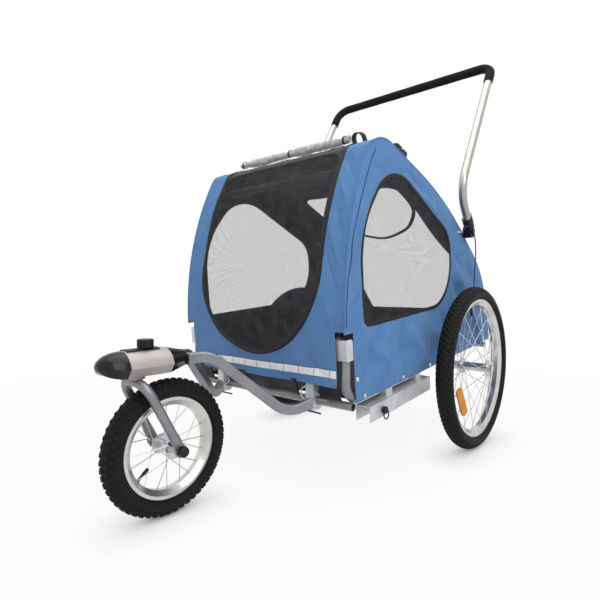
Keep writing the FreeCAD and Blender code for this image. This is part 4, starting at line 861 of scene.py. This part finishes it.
backWindow = {"front": 155.0, "tail": -309.0, "half": 190.0, "spread": 76.0, "knee": (-130.0, 520.0),
              "corner": 45.0, "middle": -110.0, "tape": 14.0, "thick": 1.2, "band": 12.0, "netGrid": (30, 220),
              "netIn": 0.8, "netFold": (-160, -130, 150, -120),
              "sag": [(150, 186), (46, 184), (12, 174), (-19, 152), (-52, 120), (-68, 90), (-86, 38), (-92, 0)]}
roof = {"rings": 40, "count": 360, "lap": 0.3, "edgeFade": 60, "seamFade": 90, "waves": (200, 1.1, 51)}


def roofOut(side, run):
    # slow waves that die at the seams
    edge = fade(cabin["half"] - np.abs(side), roof["edgeFade"]) * fade(run - seamRun, roof["seamFade"])
    return ripples(gridOf(side, run), *roof["waves"]) * edge


def onRoof(side, run, out):
    # the outline's place, lifted by the roof's own waves as well
    return onShell(side, run, out + roofOut(side, run))


def sagLine(count=160, soft=8):
    # the band's points and their mirror, evenly drawn and smoothed by a bell over twice soft neighbours
    sag = np.array(backWindow["sag"] + [(a, -y) for a, y in backWindow["sag"][-2::-1]], float)
    sag = np.stack([sag[:, 1], runAtAlong(sag[:, 0])], -1)
    step = np.linspace(0, len(sag) - 1, count)
    line = np.stack([np.interp(step, np.arange(len(sag)), sag[:, k]) for k in range(2)], -1)
    bell = np.hanning(2 * soft + 1)
    padded = np.concatenate([np.repeat(line[:1], soft, 0), line, np.repeat(line[-1:], soft, 0)])
    return np.stack([np.convolve(padded[:, k], bell / bell.sum(), "valid") for k in range(2)], -1)


def makeRoof():
    # cloth from the window, which widens towards its foot, to the roof's edge, then its tapes and net
    half, corner, foot, front = (backWindow[key] for key in ("half", "corner", "tail", "front"))
    knee, bend = backWindow["knee"]
    wide = half + backWindow["spread"]
    flatLine = roundedOutline([(-wide, foot, corner), (wide, foot, corner), (half, knee, bend), (half, front, corner),
                               (-half, front, corner), (-half, knee, bend)], True)[:-1]
    hole = np.stack([flatLine[:, 0], runAtAlong(flatLine[:, 1])], -1)
    half, start, end = cabin["half"], seamRun + roof["lap"], shellRun[-1]
    sharp = np.array([(-half, start), (half, start), (half, end), (-half, end)])
    outer = evenly(np.concatenate([sharp, sharp[:1]]), outlineStep)
    centre = np.array([0.0, runAtAlong(backWindow["middle"])])
    plan, _ = ringBetween(hole, outer, centre, roof["rings"], roof["count"], sharp)
    piece, area = stretchCloth("roofCloth", plan, onRoof, 0.0, ("blue", "lining", "skirt", "lining"))
    paintBrow(piece, rollRun)
    thicken(piece, cabin["cloth"], lined=True)
    sewn(piece, ["cabin_roof_panel"])
    edgeTape = ribbon("rearWindowTape", hole, backWindow["tape"], onRoof, flatTape(backWindow["thick"]), ("tapeBlack",),
                      closed=True)
    bandTape = ribbon("rearWindowBand", sagLine(), backWindow["band"], onRoof, flatTape(1.0), ("tapeBlack",))
    for tape in (edgeTape, bandTape):
        sewn(thicken(tape, 1.0))
    y0, a0, y1, a1 = backWindow["netFold"]

    def netOut(plan, slack):
        return crease(plan, (y0, runAtAlong(a0)), (y1, runAtAlong(a1)), 7, -3) * slack - backWindow["netIn"]
    net = stretchNet("rearWindowNet", "rear_window_mesh", hole, centre, backWindow["netGrid"], onRoof, netOut,
                     (0.535, 0.76), piece, with_pieces=[bandTape])
    crumples(piece, edgeTape, bandTape, net)


makeRoof()
print("roof sewn")

# rolled rain cover with its ties and loop

roll = {"half": 205.0, "turns": 3.0, "inner": 4.0, "outer": 14.5, "least": 2.0, "most": 17.0, "flat": 0.95,
        "pinch": 0.36, "pinchWide": 22, "waves": (60, 1.6, 61), "ripple": (24, 0.7, 62)}
ties = {"places": (-190.0, 0.0, 190.0), "wide": 5.0, "radius": 10.0, "long": 75, "endWide": 4.5, "endStart": 12,
        "ends": ((-1, 34.0), (1, 22.0)), "endLift": 2.2}
loop = {"middle": 233.0, "half": 16.0, "high": 24.0, "wide": 19.0, "thick": 1.8, "rise": 617.0, "lean": 77, "long": 70}


def rollFilm(axis):
    # a spiral of film, thicker towards the left end and pinched at its ties, with uneven creases
    y = np.linspace(-roll["half"], roll["half"], 200)[:, None]
    turn = np.linspace(0, roll["turns"] * 2 * math.pi, 110)[None]
    share = turn / turn.max()
    plan = gridOf(y, turn * 9)
    pinch = sum(np.exp(-((y - place) / roll["pinchWide"]) ** 2) for place in ties["places"])
    loose = 0.9 + 0.2 * (y + roll["half"]) / (2 * roll["half"]) + 0.1 * np.sin(y / 27)
    radius = (roll["inner"] + (roll["outer"] - roll["inner"]) * share) * (loose * (1 - roll["pinch"] * pinch))
    uneven = ripples(plan, *roll["waves"]) + ripples(plan, *roll["ripple"])
    radius = np.clip(radius + uneven * share * (1 - 0.7 * pinch), roll["least"], roll["most"])
    points = np.stack([axis[0] + radius * np.cos(turn) * mm, y * mm + 0 * turn,
                       axis[2] + radius * np.sin(turn) * mm * roll["flat"]], -1)
    film = gridPiece("rolledFilm", points, plan * mm, looks=("film",), about=axis)
    sewn(film, ["rain_cover_roll"], "rear_hoop")


def tieRoll(axis):
    # bands round the roll, each with two loose ends lying forward over the brow
    bands = []
    turn = np.linspace(0, fullTurn, 48, endpoint=False)[:, None]
    wide = np.linspace(-ties["wide"] / 2, ties["wide"] / 2, 5)[None]
    around = ties["radius"] + 0.6 * np.cos(2 * turn)
    uv = gridOf(np.linspace(0, ties["long"], 49)[:, None] * mm, wide * mm)
    for place in ties["places"]:
        points = np.stack([axis[0] + around * np.cos(turn) * mm + 0 * wide,
                           (place + wide + 1.5 * np.sin(turn)) * mm,
                           axis[2] + around * np.sin(turn) * mm + 0 * wide], -1)
        tie = gridPiece("tieBand", points, uv, wrapRows=True, looks=("tapeBlack",), about=axis)
        bands.append(thicken(tie, 1.0, 1.0))
        for side, reach in ties["ends"]:
            s = np.linspace(0, 1, 24)
            path = np.stack([place + side * (3 + 16 * s ** 1.5) - 6 * s, rollRun - ties["endStart"] - reach * s], -1)
            end = ribbon("tieEnd", path, ties["endWide"], onShell, lambda share: ties["endLift"] + 0 * share,
                         ("tapeBlack",), cols=3)
            bands.append(thicken(end, 1.0))
    return bands


def standLoop():
    # a flat webbing loop: half an oval that leans back, its width carried across it
    s = np.linspace(0, math.pi, 40)[:, None]
    wide = np.linspace(-loop["wide"] / 2, loop["wide"] / 2, 7)[None]
    lean = math.radians(loop["lean"])
    reach = loop["high"] * np.sin(s) ** 0.8 + 0.3
    along = cabin["rollAlong"] + reach * math.cos(lean) - wide * math.sin(lean) + 4 * np.sin(s)
    rise = loop["rise"] + reach * math.sin(lean) + wide * math.cos(lean) - 0.004 * wide ** 2
    side = loop["middle"] + loop["half"] * np.cos(s) * (1 + 0.15 * np.sin(s)) + 0 * wide
    uv = gridOf(np.linspace(0, loop["long"], 40)[:, None] * mm, wide * mm)
    piece = gridPiece("webbingLoop", onBody(along, side, rise), uv, looks=("tapeBlack",),
                      about=onBody(cabin["rollAlong"], loop["middle"], loop["rise"]))
    return thicken(piece, loop["thick"])


rollLow, rollHigh = (np.array(corner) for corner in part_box("rain_cover_roll"))
rollAxis = (rollLow + rollHigh) / 2
rollFilm(rollAxis)
coverTies = joinFinished("coverTies", tieRoll(rollAxis) + [standLoop()])
sewn(coverTies, ["rain_cover_ties"], "rear_hoop")
print("cover rolled and tied")

# cloth sleeves on the hoops inside the cabin, each from its lowest height; the rear one's outward half is blue

sleeves = {"front": ("front_hoop_tube", "front_hoop", 176.0, False),
           "rear": ("rear_hoop_tube", "rear_hoop", 70.0, True)}
sleeveCloth = {"thick": 1.3, "rail": 240.0, "lap": 0.15}


def makeSleeve(name, node, body, lowest, blueOutside):
    # the tube's own outside, a little larger, above the height where the cloth sleeve starts
    form = bmesh.new()
    form.from_mesh(bpy.data.objects[node].data)
    bmesh.ops.remove_doubles(form, verts=form.verts, dist=weldReach)
    up, foot = np.array(bodyUp), onBody(0.0, 0.0, lowest)
    below = [v for v in form.verts if (np.array(v.co) - foot) @ up < 0]
    bmesh.ops.delete(form, geom=below, context="VERTS")
    form.normal_update()
    mesh = bpy.data.meshes.new(name)
    form.to_mesh(mesh)
    form.free()
    place, out = readMesh(mesh.vertices, "co"), readMesh(mesh.vertices, "normal")
    mesh.vertices.foreach_set("co", (place + out * sleeveCloth["thick"] * mm).ravel())
    mesh.polygons.foreach_set("use_smooth", np.ones(len(mesh.polygons), bool))
    mesh.materials.append(finish["sleeve"])
    mesh.materials.append(finish["channel"])
    # the half that faces out of the cabin is the wall's and roof's own blue, sewn round the tube
    facing, centre = readMesh(mesh.polygons, "normal"), readMesh(mesh.polygons, "center")
    side = np.where(np.abs(centre[:, 1]) > sleeveCloth["rail"] * mm, np.sign(centre[:, 1]), 0)
    outward = facing @ up + facing[:, 1] * side > sleeveCloth["lap"]
    mesh.polygons.foreach_set("material_index", (outward * blueOutside).astype(np.int32))
    piece = bpy.data.objects.new(name, mesh)
    scene.collection.objects.link(piece)
    sewn(piece, (), body)


for key, sleeve in sleeves.items():
    makeSleeve(key + "HoopSleeve", *sleeve)
print("sleeves on")

# foam grip

grip = {"radius": 15.3, "tube": 12.6, "leg": 86.0, "bend": 45.0, "top": (-224.0, 330.0, 1273.0),
        "knee": (60.0, 333.0, 792.0), "endRound": 5.0, "uneven": 0.18}


def makeGrip():
    # a round sleeve over the top bar: its section carried round both corners, drawn in at its two ends
    top, knee = np.array(grip["top"]), np.array(grip["knee"])
    down = unit(knee - top)
    flat = roundedOutline([(top[1], grip["leg"], 0), (top[1], 0, grip["bend"]), (-top[1], 0, grip["bend"]),
                           (-top[1], grip["leg"], 0)], step=4.0)
    line = onFloor(np.stack([top[0] + down[0] * flat[:, 1], flat[:, 0], top[2] + down[2] * flat[:, 1]], -1))
    run = lengthAlong(line) / mm
    soft = np.minimum(1, np.minimum(run, run[-1] - run) / grip["endRound"])
    radius = grip["tube"] + (grip["radius"] - grip["tube"]) * np.sqrt(1 - (1 - soft) ** 2)
    radius = radius + grip["uneven"] * np.sin(run / 17) * soft
    piece = sweep("foamGrip", line, circle(1.0, 28)[None] * radius[:, None, None] * mm, ("foam",),
                  guide=unit((-down[2], 0, down[0])))
    sewn(piece, ["handle_grip"], "push_handle")


makeGrip()
print("grip fitted")

# tyres: a row of blocks is its offset, start and end round the tyre, and its span and edge in degrees from the crown

wheels = {
    "rear": {"radius": 250.0, "width": 49.0, "rim": 211.0, "lugs": 92, "samples": 10, "depth": 3.2},
    "front": {"radius": 149.0, "width": 53.0, "rim": 109.0, "lugs": 54, "samples": 12, "depth": 3.6},
    "places": [("rear_tyre_left", "rear_wheel_left", "rear", (-0.345895, 0.359, 0.250)),
               ("rear_tyre_right", "rear_wheel_right", "rear", (-0.345895, -0.359, 0.250)),
               ("front_tyre", "front_wheel", "front", (0.512105, 0.0, 0.149))],
}
treadRows = [(0.0, 0.08, 0.72, -20, 15, 3), (0.5, 0.08, 0.72, 19, 41, 3), (0.0, 0.10, 0.66, 45, 70, 4)]
tread = {"reach": 104.5, "count": 70, "bareFrom": 76, "bareOver": 10, "slant": 0.12, "blockEdge": 0.1,
         "ringHigh": 0.35, "rings": ((84, 86), (96, 99))}
valve = {"sunk": 16, "run": (0, 4, 5, 18, 19, 32, 34), "radius": (4.5, 4.5, 3.2, 3.0, 4.0, 3.8, 2.5),
         "places": [("frontValve", 2, 322), ("leftValve", 0, 80), ("rightValve", 1, 250)]}


def band(value, low, high, soft):
    # 1 between low and high, falling to 0 over soft on either side
    return fade(value - low, soft) * fade(high - value, soft)


def makeTyre(node, body, kind, place):
    # the section is a circle open at the beads; blocks of tread stand on it in three staggered rows each side
    spec = wheels[kind]
    half, rim = spec["width"] / 2, spec["rim"]
    middle = spec["radius"] - half
    swing = np.radians(np.linspace(-tread["reach"], tread["reach"], tread["count"]))
    degrees = np.degrees(np.abs(swing))
    bare = fade(tread["bareFrom"] - degrees, tread["bareOver"])
    radial, side = middle + half * np.cos(swing), half * np.sin(swing)
    rings = tread["ringHigh"] * sum(band(degrees, low, high, 1) for low, high in tread["rings"])
    around = np.linspace(0, 1, spec["lugs"] * spec["samples"], endpoint=False)[:, None] * spec["lugs"]
    slant = np.sign(swing) * tread["slant"] * degrees / 40
    rows = sum(band((around + offset + slant) % 1, start, end, tread["blockEdge"]) * band(degrees, low, high, soft)
               for offset, start, end, low, high, soft in treadRows)
    drop = spec["depth"] * bare * (1 - np.clip(rows, 0, 1)) - rings
    shift = 1 - drop / half
    crown = np.stack([middle + (radial - middle) * shift, side * shift], -1)
    # bead: inside the rim, over its edge, and halfway from there to the end of the tread
    bead = np.array([(rim - 6, 12.0), (rim + 1, 13.0),
                     ((rim + middle - 0.25 * half) / 2, (13 + 0.968 * half) / 2 + 1.5)])
    left = np.broadcast_to(bead * (1, -1), (len(around), 3, 2))
    right = np.broadcast_to(bead[::-1], (len(around), 3, 2))
    section = np.concatenate([left, crown, right], 1)
    turn = around / spec["lugs"] * 2 * math.pi
    reach, side = section[..., 0], section[..., 1]
    points = np.stack([reach * np.cos(turn), side, reach * np.sin(turn)], -1) * mm + place
    uv = np.zeros((len(around) + 1, section.shape[1] + 1, 2))
    piece = gridPiece(node + "Tread", points, uv, True, True, ("rubber",), about=place)
    sewn(piece, [node], body)


def makeValve(name, wheel, degrees):
    # a black stem and cap through the rim, pointing at the hub
    _, body, kind, place = wheels["places"][wheel]
    angle = math.radians(degrees)
    inward = np.array([-math.cos(angle), 0.0, -math.sin(angle)])
    foot = np.array(place) - inward * (wheels[kind]["rim"] - valve["sunk"]) * mm
    line = foot + inward * (np.array(valve["run"]) * mm)[:, None]
    radius = np.array(valve["radius"])
    stem = sweep(name, line, circle(1.0, 14)[None] * radius[:, None, None] * mm, ("plastic",))
    sewn(stem, (), body)


for tyre in wheels["places"]:
    makeTyre(*tyre)
for stem in valve["places"]:
    makeValve(*stem)
print("tyres on")

# carried-over CAD nodes

nodeFinish = {
    "silver": ["base_side_tubes", "base_cross_tubes", "front_hoop_tube", "rear_hoop_tube", "fork", "jogger_arm_left",
               "jogger_arm_right"],
    "aluminium": ["push_handle_tube"],
    "galvanised": ["tow_channel", "fold_brackets", "axle_receivers", "jogger_brackets", "handle_brackets"],
    "zinc": ["rear_axles", "rear_spokes_left", "rear_spokes_right", "front_spokes", "rear_hub_left", "rear_hub_right",
             "front_hub", "jogger_pin_left", "jogger_pin_right", "handle_pin_left", "handle_pin_right"],
    "rim": ["rear_rim_left", "rear_rim_right", "front_rim"],
    "champagne": ["head_shell"],
    "capPlastic": ["head_end_caps"],
    "plastic": ["knob_plate", "swivel_knob", "handle_knuckles", "handle_sockets", "hoop_collars", "bracket_tabs",
                "tow_pin", "roof_buckle", "front_axle"],
    "board": ["floor_panel"],
    "amber": ["spoke_reflector_left"],
    "whiteWire": ["lock_clips"],
}
for look, nodes in nodeFinish.items():
    for node in nodes:
        data = bpy.data.objects[node].data
        data.materials.clear()
        data.materials.append(finish[look])
print("CAD nodes painted")

# studio: lamps are given by their place, size and power, and all point at one target

# the floor darkens within 0.1 m of something close over it: a painted contact shadow
studio = {"sky": 0.4, "floor": "#f4f4f4", "floorSize": 8.0, "floorWhite": 0.9, "whiteFrom": 0.8, "whiteAt": 2.2,
          "contact": 0.1, "target": (0, 0, 0.4)}
lamps = {"keyLight": ((1.1, 2.7, 2.5), 2.4, 42.0), "fillLight": ((2.4, -1.8, 2.0), 2.4, 4.0),
         "topLight": ((0.0, 0.1, 3.0), 3.0, 48.0)}


def seenDirectly(add):
    # 1 where the camera, a reflection or a clear piece looks at the background
    light = add("LightPath").outputs
    seen = add("Math", links={0: light["Is Camera Ray"], 1: light["Is Glossy Ray"]}, operation="MAXIMUM")
    return add("Math", links={0: seen, 1: light["Is Transmission Ray"]}, operation="MAXIMUM")


def paperFloor(add):
    # matt paper under its own white, which takes over with distance, so that the floor has no far edge
    dull = add("BsdfDiffuse", {"Color": hexColor(studio["floor"])})
    bright = add("Emission", {"Color": (1, 1, 1, 1), "Strength": 1.0})
    away = add("VectorMath", links={0: add("TexCoord").outputs["Object"]}, operation="LENGTH")
    white = add("MapRange", {"From Min": studio["whiteFrom"], "From Max": studio["whiteAt"],
                             "To Min": studio["floorWhite"], "To Max": 1.0}, {"Value": away.outputs["Value"]})
    share = add("Math", links={0: seenDirectly(add), 1: white}, operation="MULTIPLY")
    # where something stands close over the floor, ambient occlusion lowers the white: a painted contact shadow, with
    # the floor's own cast shadow showing through
    near = add("AmbientOcclusion", {"Distance": studio["contact"]})
    share = add("Math", links={0: share, 1: near.outputs["AO"]}, operation="MULTIPLY")
    return add("MixShader", links={0: share, 1: dull, 2: bright})


def layFloor():
    # one large square under everything
    size = studio["floorSize"]
    corners = np.array([[(-size, -size, 0), (-size, size, 0)], [(size, -size, 0), (size, size, 0)]])
    floor = gridPiece("studioFloor", corners, np.zeros((2, 2, 2)), looks=(), about=(0, 0, -1))
    floor.data.materials.append(newMaterial("whiteStudioFloor", paperFloor))


def lightSky():
    # plain white where it is seen, and dimmer as a light
    world = bpy.data.worlds.new("studioSky")
    scene.world = world
    world.use_nodes = True
    world.node_tree.nodes.clear()
    add = functools.partial(addNode, world.node_tree)
    level = add("MapRange", {"To Min": studio["sky"], "To Max": 1.0}, {"Value": seenDirectly(add)})
    sky = add("Background", {"Color": (1, 1, 1, 1)}, {"Strength": level})
    add("OutputWorld", links={"Surface": sky})


def hangLamp(name, place, size, power):
    # a square area lamp turned from straight down towards the target
    lamp = bpy.data.lights.new(name, "AREA")
    lamp.size = size
    lamp.energy = power
    lampObject = bpy.data.objects.new(name, lamp)
    scene.collection.objects.link(lampObject)
    lampObject.location = place
    aim = unit(np.array(studio["target"]) - np.array(place))
    lampObject.rotation_euler = (math.acos(-aim[2]), 0, math.atan2(aim[1], aim[0]) - math.pi / 2)


layFloor()
lightSky()
for name, lamp in lamps.items():
    hangLamp(name, *lamp)
print("studio lit")
